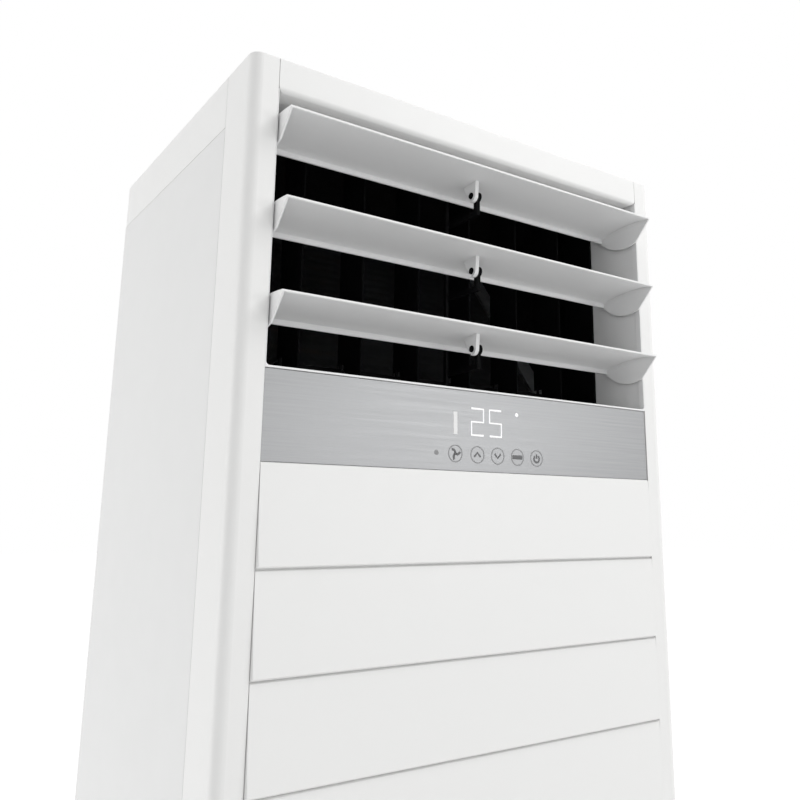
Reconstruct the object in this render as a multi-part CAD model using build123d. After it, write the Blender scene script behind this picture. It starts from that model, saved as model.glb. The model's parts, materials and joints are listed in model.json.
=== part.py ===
from build123d import *
import math
import os

# Floor standing air conditioner. Millimetres, +X right, +Y back, +Z up.
# The origin is on the floor, under the centre of the casing.

# --- casing ---
WIDTH = 590.0
DEPTH = 440.0
HEIGHT = 1850.0
CORNER_R = 12.0        # vertical front corners
EDGE_R = 2.5           # top edges of the casing
SHEET = 1.0            # steel panels
PLATE = 1.5            # base pan and inner plates
MOULD = 2.8            # wall of the moulded front frame
CAP_WALL = 2.5
GAP = 0.5              # seam between two panels
STILE = 29.3           # front frame beside the panels
FRAME_RUN = 65.8       # front frame along the side of the casing
RIB = 2.8
RIB_RUN = 24.0         # depth of the rib behind each stile
BAR_FRONT = 17.0       # cross bars, behind the front panels
BAR_H = 10.0
SEAT_W = 20.0          # feet of the upper panel on the cross bars
CAP_H = 60.2
CAP_LIP = 8.0
RETURN = 20.0          # flanges of the side panels at the back
PAN_LIP = 25.0
PAN_GAP = 0.3          # base pan and inner plates beside the side panels

# --- front panels, from the top down ---
HEADER_H = 36.8
HEADER_LIP = 24.0
HEADER_EDGE_R = 5.0
HEADER_CORNER_R = 6.0
OUTLET_H = 283.5
SILL_LIP = 2.2         # rim of the surround between the outlet and the fascia
FASCIA_H = 88.9
FASCIA_BACK = 1.0      # face of the fascia behind the front plane
FASCIA_T = 4.0
FASCIA_GAP = 0.1       # close seams over and under the fascia
FASCIA_POST = 4.0      # posts behind the fascia that carry the touch board
TOUCH_X0, TOUCH_X1 = -92.0, 112.0
LAMP_X0, LAMP_X1 = -50.0, 60.0       # display on the touch board
LAMP_RISE = 52.0
PLUG_X, PLUG_W = 70.0, 26.0
BOARD_T = 1.6
TIER = 95.2
FIXED_TIERS = 5
KICK_MIN = 80.0        # least height left under the door
STEP = 3.0             # how far the foot of a tier stands proud
BEVEL = 1.2
GROOVE_H = 1.6
GROOVE_D = 2.2
SKIN = 3.4
PANEL_D = 13.5
PANEL_EDGE_R = 2.5
PANEL_RIM = 12.0
CELL_WALL = 2.5
SLOT_H = 10.0          # air slots under the steps of the door
SLOT_COLUMNS = 6
SLOT_MARGIN = 18.0
SLOT_BAR = 7.0
HINGE_BACK = 6.5       # hinge line behind the front plane
HINGE_PIN_R = 2.0
HINGE_PIN_L = 6.0
CATCH_W = 22.0
CATCH_H = 46.0
PLAY = 0.05            # radial play of a running fit
PRESS_PLAY = 0.02      # radial play of a fixed fit
REST_GAP = 0.3

# --- outlet ---
SURROUND_D = 86.0
SURROUND_T = 2.5
SURROUND_OVER = 3.0    # roof of the surround above the header's lower edge
SURROUND_UNDER = 3.7   # sill of the surround below the foot of the outlet
RIM_W = 1.2            # rim of the surround inside the stiles
RIM_GAP = 0.15
RIM_CORNER_R = 4.0
RIM_EDGE_R = 0.6
DUCT_END = 140.0       # back end of the black duct, behind the front plane
DUCT_T = 4.0
DUCT_CHEEK = 2.5
DUCT_STEP = 3.7        # the duct is this much narrower than the surround

# --- air vanes ---
VANES = 3
VANE_PITCH = 94.3
VANE_DROP = 80.4       # first pivot below the top of the casing
VANE_BACK = 22.0       # pivots behind the front plane
VANE_END_GAP = 2.7
NOSE_Y, NOSE_Z = -48.4, 16.0    # front edge, from the pivot
TAIL_Y, TAIL_Z = 40.4, 11.0     # rear edge
WEB_T = 2.0
WEB_RISE = 17.4        # middle of the web above the pivot
LIP_Z = 4.0
LIP_T = 2.2
NOSE_R = 1.3           # rounded front edge of the web
CHEEK_T = 2.0
CHEEK_LOW = -14.5
VANE_PIN_R = 4.0
PIN_OVER = 2.0         # pins beyond the wall of the surround
MOTOR_PIN = 7.0        # the middle left pin reaches into the motor
HOOK_W = 5.0           # the hook is a flat plate under the middle of the web
HOOK_R = 7.5
HOOK_PIN_R = 3.9
HOOK_MOUTH = 7.0
HOOK_MOUTH_TURN = -40.0
HOOK_AHEAD, HOOK_AFTER = 9.0, 17.0   # root of the hook before and behind its pin
CRANK_R = 12.0
CRANK_ANGLE = -40.0
CRANK_PIN_R = 2.0
CRANK_T = 3.0
CRANK_HUB_R = 6.5
LINK_W = 8.0
LINK_T = 3.0
POST_HALF = 1.8
POST_D = 5.0
POST_GAP = 1.0         # between the post and the upright fins
ARM_X0, ARM_X1 = 3.4, 8.4
ARM_HALF = 3.0
ARM_DROP = 20.0        # the arms run forward below the rear lips, then up to the hooks
MOTOR_R = 14.0
MOTOR_T = 19.0
MOTOR_EAR = 7.0

# --- upright fins ---
FINS = 6
FIN_PITCH = 77.5
FIN_BACK = 107.0       # pivots behind the front plane
FIN_FRONT, FIN_REAR = 27.0, 27.0
FIN_T = 2.2
FIN_PLAY = 1.0
FIN_PIN_R = 2.5
FIN_LINK_R = 20.0
FIN_LINK_PIN_R = 1.75
FIN_LINK_Z = 24.0      # underside of the link bar above the foot of the blades
FIN_LINK_T = 4.0
FIN_LINK_HALF = 5.0
FIN_NOTCH_OVER = 6.0
FIN_MOTOR_AT = 2

# --- heat exchanger ---
SLAB_GAP = 1.5         # behind the duct
SLAB_DROP = 36.0       # foot of the slab below the sill
SLAB_ROOM = 42.0       # free depth behind the slab
SLAB_SIDE = 12.0       # free width beside the slab
SLAB_L = 380.0
SLAB_T = 40.0
COMB_PITCH = 5.0
COMB_GAP = 3.4
COMB_D = 4.0
PLATE_OVER = 3.0       # end plates beyond the pack, all round
FLANGE = 28.0
TUBE_R = 4.75
TUBE_PLAY = 0.4        # round each tube in the end plates
PIPE_WALL = 0.8
TUBE_ROWS = 12
TUBE_COLUMNS = (10.0, 30.0)
TUBE_OUT = 6.0
GAS_R = 6.35
LIQUID_R = 4.75
PIPE_OUT = 13.0        # pipes outside the drain pan
GAS_BACK = 300.0
PIPE_FOOT = 230.0
NUT_R, NUT_L = 13.0, 22.0
PAN_RUN = 82.0
PAN_AHEAD = 18.0       # front of the pan before the end of the duct
PAN_DROP = 55.0        # floor of the pan below the foot of the slab
PAN_DEEP = 44.0
PAN_T = 3.0
DRAIN_IN = 10.0        # drain hole from the right end of the pan
DRAIN_BACK, DRAIN_R, DRAIN_BORE = 186.0, 8.0, 6.0
WALL_T = 1.2
WALL_AHEAD = 0.5       # chamber wall before the end of the duct
LINER_T = 8.0
LINER_GAP = 3.2
DECK_OVER = 37.4       # partition above the top of the door

# --- blower ---
HUB_Z = 420.0
WHEEL_GAP = 30.0       # least gap between wheel and scroll
BLADE_W = 40.0
BLADES = 40
BLADE_T = 1.4
BLADE_LEAN = 9.0
SCROLL_AFTER = 10.0    # scroll behind the end of the duct
SCROLL_SIDE = 36.5     # left of the scroll
SCROLL_GAP = 9.5       # between the scroll and the drain pipe
SCROLL_STEP = 16.0
SCROLL_T = 2.5
MOUTH_OUT = 92.0       # mouth of the scroll left of the hub
INLET_LAP = 25.0       # inlet ring inside the rim of the wheel
WHEEL_AFTER, WHEEL_BEFORE = 16.0, 24.0
SHAFT_R = 6.0
SHAFT_IN = 34.0        # shaft inside the hub of the wheel
SHAFT_OUT = 20.0       # shaft inside the motor
EYE_R = 40.0           # hole for the shaft in the back of the scroll
BLOWER_MOTOR_R = 70.0
BLOWER_MOTOR_L = 80.0
MOTOR_REST = 18.0      # between the motor and the rear of the casing
BRACKET_R = 112.0
BRACKET_T = 2.5
POST_R = 6.0
POST_L = 12.0

# --- filters ---
FILTER_BACK = 27.0
FILTER_T = 6.0
FILTER_OVER, FILTER_UNDER = 18.2, 34.6   # inside the ends of the door
FILTER_X0 = 5.0
FILTER_SIDE = 15.7
FILTER_LIFT = 14.0
CHANNEL = 10.0

# --- control box ---
BOX_X0, BOX_W = -150.0, 320.0
BOX_OVER, BOX_H = 40.0, 250.0
BOX_FRONT = 66.0
BOX_T = 1.2
BOX_POST = 14.0        # posts that carry the control board
BOARD_RISE = 62.0      # control board above the floor of the box
BOARD_END = 100.0      # free width beside the board, for the capacitor
COIL_W = 42.0

# --- openings in the rear panel ---
DRAIN_FOOT = 190.0
GLAND_SIDE, GLAND_Z, GLAND_R = 73.0, 112.0, 32.0
CORD_SIDE, CORD_Z, CORD_R = 95.0, 112.0, 4.5
ANCHOR_SIDE, ANCHOR_END, ANCHOR_R = 55.0, 70.0, 5.5
SCREW_R = 2.0
BEADS = 4              # stamped upright beads of the rear panel
BEAD_W, BEAD_RISE = 24.0, 0.8
BEAD_FOOT, BEAD_TOP = 260.0, 190.0
SCREW_FOOT, SCREW_TOP, SCREW_ROWS = 80.0, 110.0, 5

# --- what follows from them ---
SIDE = WIDTH / 2
FRONT = -DEPTH / 2
REAR = DEPTH / 2
STILE_EDGE = SIDE - STILE
PANEL_HALF = STILE_EDGE - GAP
HEADER_FOOT = HEIGHT - HEADER_H
OUTLET_FOOT = HEADER_FOOT - OUTLET_H
FASCIA_TOP = OUTLET_FOOT - SILL_LIP
FASCIA_FOOT = FASCIA_TOP - FASCIA_H
DOOR_TOP = FASCIA_FOOT - FIXED_TIERS * TIER
DOOR_TIERS = int((DOOR_TOP - KICK_MIN) // TIER)
DOOR_FOOT = DOOR_TOP - DOOR_TIERS * TIER
ROOF = HEADER_FOOT + SURROUND_OVER
SILL = OUTLET_FOOT - SURROUND_UNDER
FASCIA_REAR = FASCIA_BACK + FASCIA_T
HINGE_X = -PANEL_HALF + HINGE_BACK + STEP
DUCT_HALF = STILE_EDGE - DUCT_STEP
DUCT_ROOF = ROOF - DUCT_STEP
DUCT_SILL = SILL + DUCT_STEP
VANE_END = STILE_EDGE - VANE_END_GAP
WALL_OUT = STILE_EDGE + SURROUND_T
FIN_Z0 = DUCT_SILL + FIN_PLAY
FIN_Z1 = DUCT_ROOF - FIN_PLAY
POST_BACK = FIN_BACK - FIN_FRONT - POST_GAP - POST_D
INNER_HALF = SIDE - SHEET - PAN_GAP
DECK_Z = DOOR_TOP + DECK_OVER
SLAB_BACK = DUCT_END + SLAB_GAP
SLAB_FOOT = SILL - SLAB_DROP
SLAB_HALF = DUCT_HALF - SLAB_SIDE
SLAB_REACH = DEPTH - SLAB_BACK - SLAB_ROOM
SLAB_TILT = math.degrees(math.asin(SLAB_REACH / math.hypot(SLAB_L, SLAB_T)) - math.atan(SLAB_T / SLAB_L))
PAN_HALF = DUCT_HALF
PAN_FRONT = DUCT_END - PAN_AHEAD
PAN_REAR = PAN_FRONT + PAN_RUN
PAN_FLOOR = SLAB_FOOT - PAN_DROP
PAN_TOP = PAN_FLOOR + PAN_DEEP
PIPE_X = PAN_HALF + PIPE_OUT
DRAIN_X = PAN_HALF - DRAIN_IN
WALL_BACK = DUCT_END - WALL_AHEAD
LINER_X = SIDE - LINER_GAP
SCROLL_LEFT = SCROLL_SIDE - SIDE
SCROLL_RIGHT = DRAIN_X - DRAIN_R - SCROLL_GAP
SCROLL_R = (SCROLL_RIGHT - SCROLL_LEFT - 2 * SCROLL_T - 3 * SCROLL_STEP) / 2
SCROLL_FRONT = DUCT_END + SCROLL_AFTER
SCROLL_REAR = DEPTH - MOTOR_REST - BLOWER_MOTOR_L - POST_L
HUB_X = SCROLL_LEFT + SCROLL_T + SCROLL_R + SCROLL_STEP / 2
MOUTH_LEFT = HUB_X - MOUTH_OUT
MOUTH_RIGHT = SCROLL_RIGHT - SCROLL_T
WHEEL_R = SCROLL_R - WHEEL_GAP
BLADE_R0 = WHEEL_R - BLADE_W
INLET_R = WHEEL_R - INLET_LAP
WHEEL_FRONT = SCROLL_FRONT + WHEEL_AFTER
WHEEL_REAR = SCROLL_REAR - WHEEL_BEFORE
FILTER_Z0 = DOOR_FOOT + FILTER_OVER
FILTER_Z1 = DOOR_TOP - FILTER_UNDER
FILTER_X1 = STILE_EDGE - FILTER_SIDE
BOX_X1 = BOX_X0 + BOX_W
BOX_Z0 = DECK_Z + BOX_OVER
BOX_Z1 = BOX_Z0 + BOX_H
GLAND_X = SIDE - GLAND_SIDE
CORD_X = CORD_SIDE - SIDE
ANCHOR_X = SIDE - ANCHOR_SIDE
ANCHOR_Y = DEPTH / 2 - ANCHOR_END
SCREW_STEP = (HEIGHT - SCREW_TOP - SCREW_FOOT) / (SCREW_ROWS - 1)
SCREW_HEIGHTS = [SCREW_FOOT + row * SCREW_STEP for row in range(SCREW_ROWS)]
STAND = (Align.CENTER, Align.CENTER, Align.MIN)


def behind(distance):
    """Y of a plane that far behind the front plane of the casing."""
    return FRONT + distance


def block(x0, x1, y0, y1, z0, z1):
    return Pos(x0, y0, z0) * Box(x1 - x0, y1 - y0, z1 - z0, align=(Align.MIN,) * 3)


def rod_x(x0, x1, y, z, radius):
    return Pos(x0, y, z) * Rot(0, 90, 0) * Cylinder(radius, x1 - x0, align=STAND)


def rod_y(y0, y1, x, z, radius):
    return Pos(x, y0, z) * Rot(-90, 0, 0) * Cylinder(radius, y1 - y0, align=STAND)


def rod_z(z0, z1, x, y, radius):
    return Pos(x, y, z0) * Cylinder(radius, z1 - z0, align=STAND)


def polygon(*points):
    return make_face(Polyline(*points, close=True).edges())


def eased(face, *corners):
    """Rounds the corners of a face that lie nearest to each (a, b), with radius r."""
    for a, b, radius in corners:
        nearest = min(face.vertices(), key=lambda v: math.hypot(v.X - a, v.Y - b))
        face = fillet(nearest, radius)
    return face


def across(face, x0, x1):
    """A face drawn in Y and Z, drawn out along X."""
    return Pos(x0, 0, 0) * extrude(Plane.YZ * face, x1 - x0)


def upright(face, z0, z1):
    """A face drawn in X and Y, drawn out along Z."""
    return Pos(0, 0, z0) * extrude(face, z1 - z0)


def lengthwise(face, y0, y1):
    """A face drawn in X and Z, drawn out along Y."""
    plane = Plane(origin=(0, y1, 0), x_dir=(1, 0, 0), z_dir=(0, -1, 0))
    return extrude(plane * face, y1 - y0)


def rounded_plan(half, y_front, y_back, left_r, right_r):
    plan = polygon((-half, y_front), (half, y_front), (half, y_back), (-half, y_back))
    return eased(plan, (-half, y_front, left_r), (half, y_front, right_r))


def round_footed(half, foot, top, radius):
    """An upright rectangle in X and Z with its lower corners rounded."""
    face = polygon((-half, foot), (half, foot), (half, top), (-half, top))
    return eased(face, (-half, foot, radius), (half, foot, radius))


# --- casing ---

def bar_heights():
    """Undersides of the cross bars of the front frame."""
    half = BAR_H / 2
    return (PLATE, DOOR_FOOT - BAR_H, DOOR_TOP - half, FASCIA_FOOT - half, SILL - SURROUND_T - BAR_H)


def front_frame():
    outer = rounded_plan(SIDE, FRONT, behind(FRAME_RUN), CORNER_R, CORNER_R)
    shell = upright(outer, 0, HEIGHT)
    inner_r = CORNER_R - MOULD
    inner = rounded_plan(SIDE - MOULD, behind(MOULD), behind(FRAME_RUN + 1), inner_r, inner_r)
    top_edges = shell.edges().filter_by(Plane.XY).group_by(Axis.Z)[-1].sort_by(Axis.Y)[:-1]
    shell = fillet(top_edges, EDGE_R)
    shell -= upright(inner, -1, HEIGHT - MOULD)
    shell -= block(-STILE_EDGE, STILE_EDGE, FRONT - 1, behind(MOULD), -1, HEIGHT + 1)
    rib_y = (behind(1.0), behind(RIB_RUN))
    rib_spans = ((PLATE, SILL - SURROUND_T), (ROOF + SURROUND_T, HEIGHT - MOULD))
    for x in (-STILE_EDGE - RIB, STILE_EDGE):
        for z0, z1 in rib_spans:
            shell += block(x, x + RIB, *rib_y, z0, z1)
    bar_x = STILE_EDGE + RIB
    for z in bar_heights():
        shell += block(-bar_x, bar_x, behind(BAR_FRONT), behind(RIB_RUN), z, z + BAR_H)
    for z in (DOOR_FOOT - HINGE_PIN_L, DOOR_TOP):
        lug = block(-STILE_EDGE - 1, HINGE_X + 5, behind(3.6), behind(11), z, z + HINGE_PIN_L)
        shell += lug - rod_z(z - 1, z + HINGE_PIN_L + 1, HINGE_X, behind(HINGE_BACK), HINGE_PIN_R + PLAY)
    return shell


def top_cap():
    y0 = behind(FRAME_RUN + GAP)
    foot = HEIGHT - CAP_H + GAP / 2
    cap = block(-SIDE, SIDE, y0, REAR, foot, HEIGHT)
    top = cap.edges().group_by(Axis.Z)[-1].sort_by(Axis.Y)[1:]
    upright_edges = cap.edges().filter_by(Axis.Z).sort_by(Axis.Y)[-2:]
    cap = fillet(top + upright_edges, EDGE_R)
    inner = SIDE - CAP_WALL
    cap -= block(-inner, inner, y0 - 1, REAR - CAP_WALL, foot - 1, HEIGHT - CAP_WALL)
    lip_out = SIDE - SHEET - 0.1
    for x0, x1 in ((-lip_out, -lip_out + 2), (lip_out - 2, lip_out)):
        cap += block(x0, x1, y0 + 4, REAR - CAP_WALL + 0.5, foot - CAP_LIP, foot + 4)
    tongue_top = HEIGHT - MOULD
    cap += block(-200, 200, y0 - 10, y0 + 6, tongue_top - CAP_WALL, tongue_top)
    cap += block(-200, 200, y0, y0 + 6, tongue_top - CAP_WALL, HEIGHT - CAP_WALL + 0.5)
    return cap


def side_panel(sign):
    y0 = behind(FRAME_RUN + GAP)
    top = HEIGHT - CAP_H - GAP / 2
    x_out, x_in = sign * SIDE, sign * (SIDE - SHEET)
    panel = block(min(x_out, x_in), max(x_out, x_in), y0, REAR, 0, top)
    front_in = sign * (SIDE - RETURN / 2)
    rear_in = sign * (SIDE - RETURN)
    panel += block(min(x_out, front_in), max(x_out, front_in), y0, y0 + SHEET, PLATE, top - CAP_LIP - 1)
    panel += block(min(x_out, rear_in), max(x_out, rear_in), REAR - SHEET, REAR, 0, top)
    for z in SCREW_HEIGHTS:
        panel -= rod_y(REAR - 5, REAR + 1, sign * screw_x(), z, SCREW_R + PLAY)
    return panel


def screw_x():
    return SIDE - RETURN / 2 - SHEET


def bead(x, y0, y1, inset):
    """Upright strip with round ends, drawn in by an inset all round."""
    radius = BEAD_W / 2 - inset
    z0, z1 = BEAD_FOOT, HEIGHT - BEAD_TOP
    strip = block(x - radius, x + radius, y0, y1, z0, z1)
    return strip + rod_y(y0, y1, x, z0, radius) + rod_y(y0, y1, x, z1, radius)


def rear_panel():
    half = INNER_HALF
    top = HEIGHT - CAP_H - GAP / 2
    y0, y1 = REAR - 2 * SHEET, REAR - SHEET
    panel = block(-half, half, y0, y1, 0, top)
    for sign in (-1, 1):
        for z in SCREW_HEIGHTS:
            panel -= rod_y(y0 - 1, y1 + 1, sign * screw_x(), z, SCREW_R + PLAY)
    panel -= rod_y(y0 - 1, y1 + 1, GLAND_X, GLAND_Z, GLAND_R + 4)
    panel -= rod_y(y0 - 1, y1 + 1, CORD_X, CORD_Z, CORD_R + 3.5)
    for index in range(BEADS):
        x = (index - (BEADS - 1) / 2) * WIDTH / (BEADS + 1)
        raised = bead(x, y0, y1 + BEAD_RISE, 0)
        panel += chamfer(raised.edges().group_by(Axis.Y)[-1], BEAD_RISE / 2)
        panel -= bead(x, y0 - 1, y0 + BEAD_RISE, SHEET)
    return panel


def casing_screws():
    screws = []
    for sign in (-1, 1):
        for z in SCREW_HEIGHTS:
            x = sign * screw_x()
            head = rod_y(REAR, REAR + 2.2, x, z, 2 * SCREW_R)
            head = chamfer(head.edges().group_by(Axis.Y)[-1], 0.7)
            slot = block(x - 2.6, x + 2.6, REAR + 1.3, REAR + 3, z - 0.5, z + 0.5)
            slot += block(x - 0.5, x + 0.5, REAR + 1.3, REAR + 3, z - 2.6, z + 2.6)
            screws.append(head - slot + rod_y(REAR - 2.6, REAR, x, z, SCREW_R))
    return screws


def base_pan():
    half = INNER_HALF
    tongue = SIDE - MOULD - PAN_GAP
    y_step = behind(FRAME_RUN + GAP + SHEET + PAN_GAP)
    y_back = REAR - 2 * SHEET
    pan = block(-half, half, y_step, y_back, 0, PLATE)
    pan += upright(rounded_plan(tongue, behind(MOULD + PAN_GAP), y_step, CORNER_R, CORNER_R), 0, PLATE)
    for x in (-half, half - PLATE):
        pan += block(x, x + PLATE, y_step, y_back, 0, PAN_LIP)
    pan += block(-half, half, y_back - PLATE, y_back, 0, PAN_LIP)
    for x in (-ANCHOR_X, ANCHOR_X):
        for y in (-ANCHOR_Y, ANCHOR_Y):
            pan -= rod_z(-1, PLATE + 1, x, y, ANCHOR_R)
    return pan


def header_panel():
    foot, top, lip = HEADER_FOOT, HEIGHT, behind(HEADER_LIP)
    t = MOULD
    section = polygon(
        (FRONT, foot), (lip, foot), (lip, foot + SURROUND_OVER),
        (behind(t), foot + SURROUND_OVER), (behind(t), top), (FRONT, top),
    )
    section = eased(section, (FRONT, foot, HEADER_EDGE_R), (FRONT, top, EDGE_R))
    bar = across(section, -PANEL_HALF - 1, PANEL_HALF + 1)
    return bar & lengthwise(round_footed(PANEL_HALF, foot, top + 1, HEADER_CORNER_R), FRONT - 1, lip + 1)


def control_fascia():
    y0, y1 = behind(FASCIA_BACK), behind(FASCIA_REAR)
    plate = block(-PANEL_HALF, PANEL_HALF, y0, y1, FASCIA_FOOT + FASCIA_GAP, FASCIA_TOP)
    plate = chamfer(plate.edges().filter_by(Axis.X).group_by(Axis.Y)[0], 0.6)
    for x in (TOUCH_X0 + 12, TOUCH_X1 - 12):
        for z in (FASCIA_FOOT + 18, FASCIA_TOP - 18):
            plate += rod_y(y1, y1 + FASCIA_POST, x, z, 3.0)
    for z in (FASCIA_FOOT + 2 * GAP, SILL - SURROUND_T - BAR_H / 2):
        for x in (-PANEL_HALF + 6, -2, PANEL_HALF - 9):
            plate += block(x, x + 3, y1 - 1, behind(BAR_FRONT), z, z + 3)
    return plate


def touch_board():
    """Display and touch sensor board, on the posts of the fascia."""
    y0 = behind(FASCIA_REAR + FASCIA_POST)
    y1 = y0 + BOARD_T
    board = block(TOUCH_X0, TOUCH_X1, y0, y1, FASCIA_FOOT + 10, FASCIA_TOP - 12)
    lamp_y = behind(FASCIA_REAR + 0.6)
    board += block(LAMP_X0, LAMP_X1, lamp_y, y0, FASCIA_FOOT + LAMP_RISE, FASCIA_TOP - 26)
    plug_z = FASCIA_FOOT + 30
    return board + block(PLUG_X, PLUG_X + PLUG_W, y1, y1 + 3, plug_z, plug_z + 16)


def step_outline(top, tiers):
    """The stepped front of a panel and its flat back, in Y and Z."""
    points = [(behind(BEVEL), top), (FRONT, top - BEVEL)]
    for tier in range(tiers):
        foot = top - (tier + 1) * TIER
        points += [(behind(-STEP), foot + BEVEL), (behind(BEVEL - STEP), foot)]
        if tier < tiers - 1:
            points += [
                (behind(GROOVE_D), foot), (behind(GROOVE_D), foot - GROOVE_H),
                (behind(BEVEL), foot - GROOVE_H), (FRONT, foot - GROOVE_H - BEVEL),
            ]
    foot = top - tiers * TIER
    return polygon(*points, (behind(PANEL_D), foot), (behind(PANEL_D), top))


def stepped_panel(top, tiers, left_r):
    foot = top - tiers * TIER
    plan = rounded_plan(PANEL_HALF, behind(-STEP), behind(PANEL_D), left_r, PANEL_EDGE_R)
    panel = across(step_outline(top, tiers), -PANEL_HALF, PANEL_HALF)
    panel &= upright(plan, foot, top)
    inner = PANEL_HALF - PANEL_RIM
    columns = 3
    width = 2 * inner / columns
    cells = []
    for tier in range(tiers):
        z1 = top - tier * TIER - CELL_WALL
        for column in range(columns):
            x0 = -inner + column * width + CELL_WALL / 2
            x1 = x0 + width - CELL_WALL
            cells.append(block(x0, x1, behind(SKIN), behind(PANEL_D + 1), z1 - TIER + 2 * CELL_WALL, z1))
    return panel - cells


def upper_front_panel():
    panel = stepped_panel(FASCIA_FOOT, FIXED_TIERS, PANEL_EDGE_R)
    pocket_y = (behind(3.3), behind(PANEL_D + 1))
    pocket_z = (DOOR_TOP - 1, DOOR_TOP + HINGE_PIN_L + 1)
    panel -= block(-PANEL_HALF - 1, HINGE_X + 6, *pocket_y, *pocket_z)
    for x in (-PANEL_HALF + 40, -SEAT_W / 2, PANEL_HALF - 40 - SEAT_W):
        for z in (DOOR_TOP, FASCIA_FOOT - CELL_WALL):
            panel += block(x, x + SEAT_W, behind(PANEL_D - 1), behind(BAR_FRONT), z, z + CELL_WALL)
    return panel


def kick_panel():
    foot = PLATE + GAP
    top = DOOR_FOOT - GAP
    leg_z = DOOR_FOOT - BAR_H + 0.5
    section = polygon(
        (FRONT, foot), (behind(BAR_FRONT), foot), (behind(BAR_FRONT), foot + 3), (behind(MOULD), foot + 3),
        (behind(MOULD), leg_z), (behind(BAR_FRONT), leg_z),
        (behind(BAR_FRONT), leg_z + 2.5), (behind(MOULD), leg_z + 2.5),
        (behind(MOULD), top), (FRONT, top),
    )
    section = eased(section, (FRONT, top, BEVEL))
    return across(section, -PANEL_HALF, PANEL_HALF)


def slot_spans():
    """X spans of the air slots in one row."""
    half = PANEL_HALF - SLOT_MARGIN
    pitch = (2 * half + SLOT_BAR) / SLOT_COLUMNS
    return [(-half + i * pitch, -half + (i + 1) * pitch - SLOT_BAR) for i in range(SLOT_COLUMNS)]


def intake_door():
    top = DOOR_TOP - GAP
    door = stepped_panel(top, DOOR_TIERS, HINGE_BACK + STEP)
    slots = []
    for tier in range(1, DOOR_TIERS):
        z1 = top - tier * TIER
        for x0, x1 in slot_spans():
            slots.append(block(x0, x1, behind(-STEP - 1), behind(PANEL_D + 1), z1 - SLOT_H, z1))
    foot = top - DOOR_TIERS * TIER + GAP
    inside = -PANEL_HALF
    heel = polygon(
        (inside - 1, behind(PANEL_D - 5)), (inside, behind(PANEL_D - 5)),
        (inside + 5, behind(PANEL_D)), (inside + 5, behind(PANEL_D + 1)), (inside - 1, behind(PANEL_D + 1)),
    )
    door -= [*slots, upright(heel, foot - 2, top + 1)]
    door -= block(-PANEL_HALF - 1, PANEL_HALF + 1, behind(-STEP - 1), behind(PANEL_D + 1), foot - 2, foot)
    door += rod_z(top - 2, top + GAP + HINGE_PIN_L, HINGE_X, behind(HINGE_BACK), HINGE_PIN_R)
    door += rod_z(DOOR_FOOT - HINGE_PIN_L, foot + 2, HINGE_X, behind(HINGE_BACK), HINGE_PIN_R)
    return door


def door_catches():
    """Two magnets on the rib of the front frame that hold the free edge of the door."""
    catches = []
    x1 = STILE_EDGE
    y0, y1 = behind(PANEL_D + REST_GAP), behind(RIB_RUN - 1)
    for z in (DOOR_FOOT + TIER / 2, DOOR_TOP - TIER / 2):
        body = block(x1 - CATCH_W, x1, y0, y1, z - CATCH_H / 2, z + CATCH_H / 2)
        catches.append(chamfer(body.edges().filter_by(Axis.Z).group_by(Axis.X)[0], 1.5))
    return catches


# --- outlet, vanes and fins ---

def vane_pivot(index):
    return behind(VANE_BACK), HEIGHT - VANE_DROP - index * VANE_PITCH


def fin_x(index):
    return (index - (FINS - 1) / 2) * FIN_PITCH


def surround_rim():
    """Thin rim of the surround: between the stiles in front, and on its walls behind them."""
    front_half = STILE_EDGE - RIM_GAP
    low, high = FASCIA_TOP + FASCIA_GAP, HEADER_FOOT + SURROUND_OVER - 1
    y_mid, y_back = behind(MOULD), behind(FASCIA_REAR + REST_GAP)
    rim = block(-front_half, front_half, FRONT, y_mid, low, high)
    rim += block(-STILE_EDGE - 1, STILE_EDGE + 1, y_mid, y_back + SURROUND_T, low, high)
    rim += block(-STILE_EDGE - 1, STILE_EDGE + 1, y_back, y_back + SURROUND_T, SILL - 1, high)
    hole = round_footed(STILE_EDGE - RIM_W, OUTLET_FOOT, high + 1, RIM_CORNER_R)
    rim -= lengthwise(hole, FRONT - 1, y_back + SURROUND_T + 1)
    return fillet(rim.edges().filter_by(on_front_rim), RIM_EDGE_R)


def on_front_rim(edge):
    """True for the edges of the rim's hole that lie in the front plane."""
    middle = edge @ 0.5
    inside = abs(middle.X) < STILE_EDGE - RIM_W / 2 and middle.Z > FASCIA_TOP + SILL_LIP / 2
    return abs(middle.Y - FRONT) < RIM_GAP and inside and middle.Z < HEADER_FOOT + 1


def outlet_surround():
    y0, y1 = behind(MOULD), behind(SURROUND_D)
    tube = block(-WALL_OUT, WALL_OUT, y0, y1, SILL - SURROUND_T, ROOF + SURROUND_T)
    tube -= block(-STILE_EDGE, STILE_EDGE, y0 - 1, y1 + 1, SILL, ROOF)
    seat_y = behind(FASCIA_REAR + REST_GAP)
    tube -= block(-STILE_EDGE, STILE_EDGE, y0 - 1, seat_y, SILL - SURROUND_T - 1, SILL + 1)
    tube += surround_rim()
    for index in range(VANES):
        tube -= rod_x(-WALL_OUT - 1, WALL_OUT + 1, *vane_pivot(index), VANE_PIN_R + PLAY)
    return tube


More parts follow.
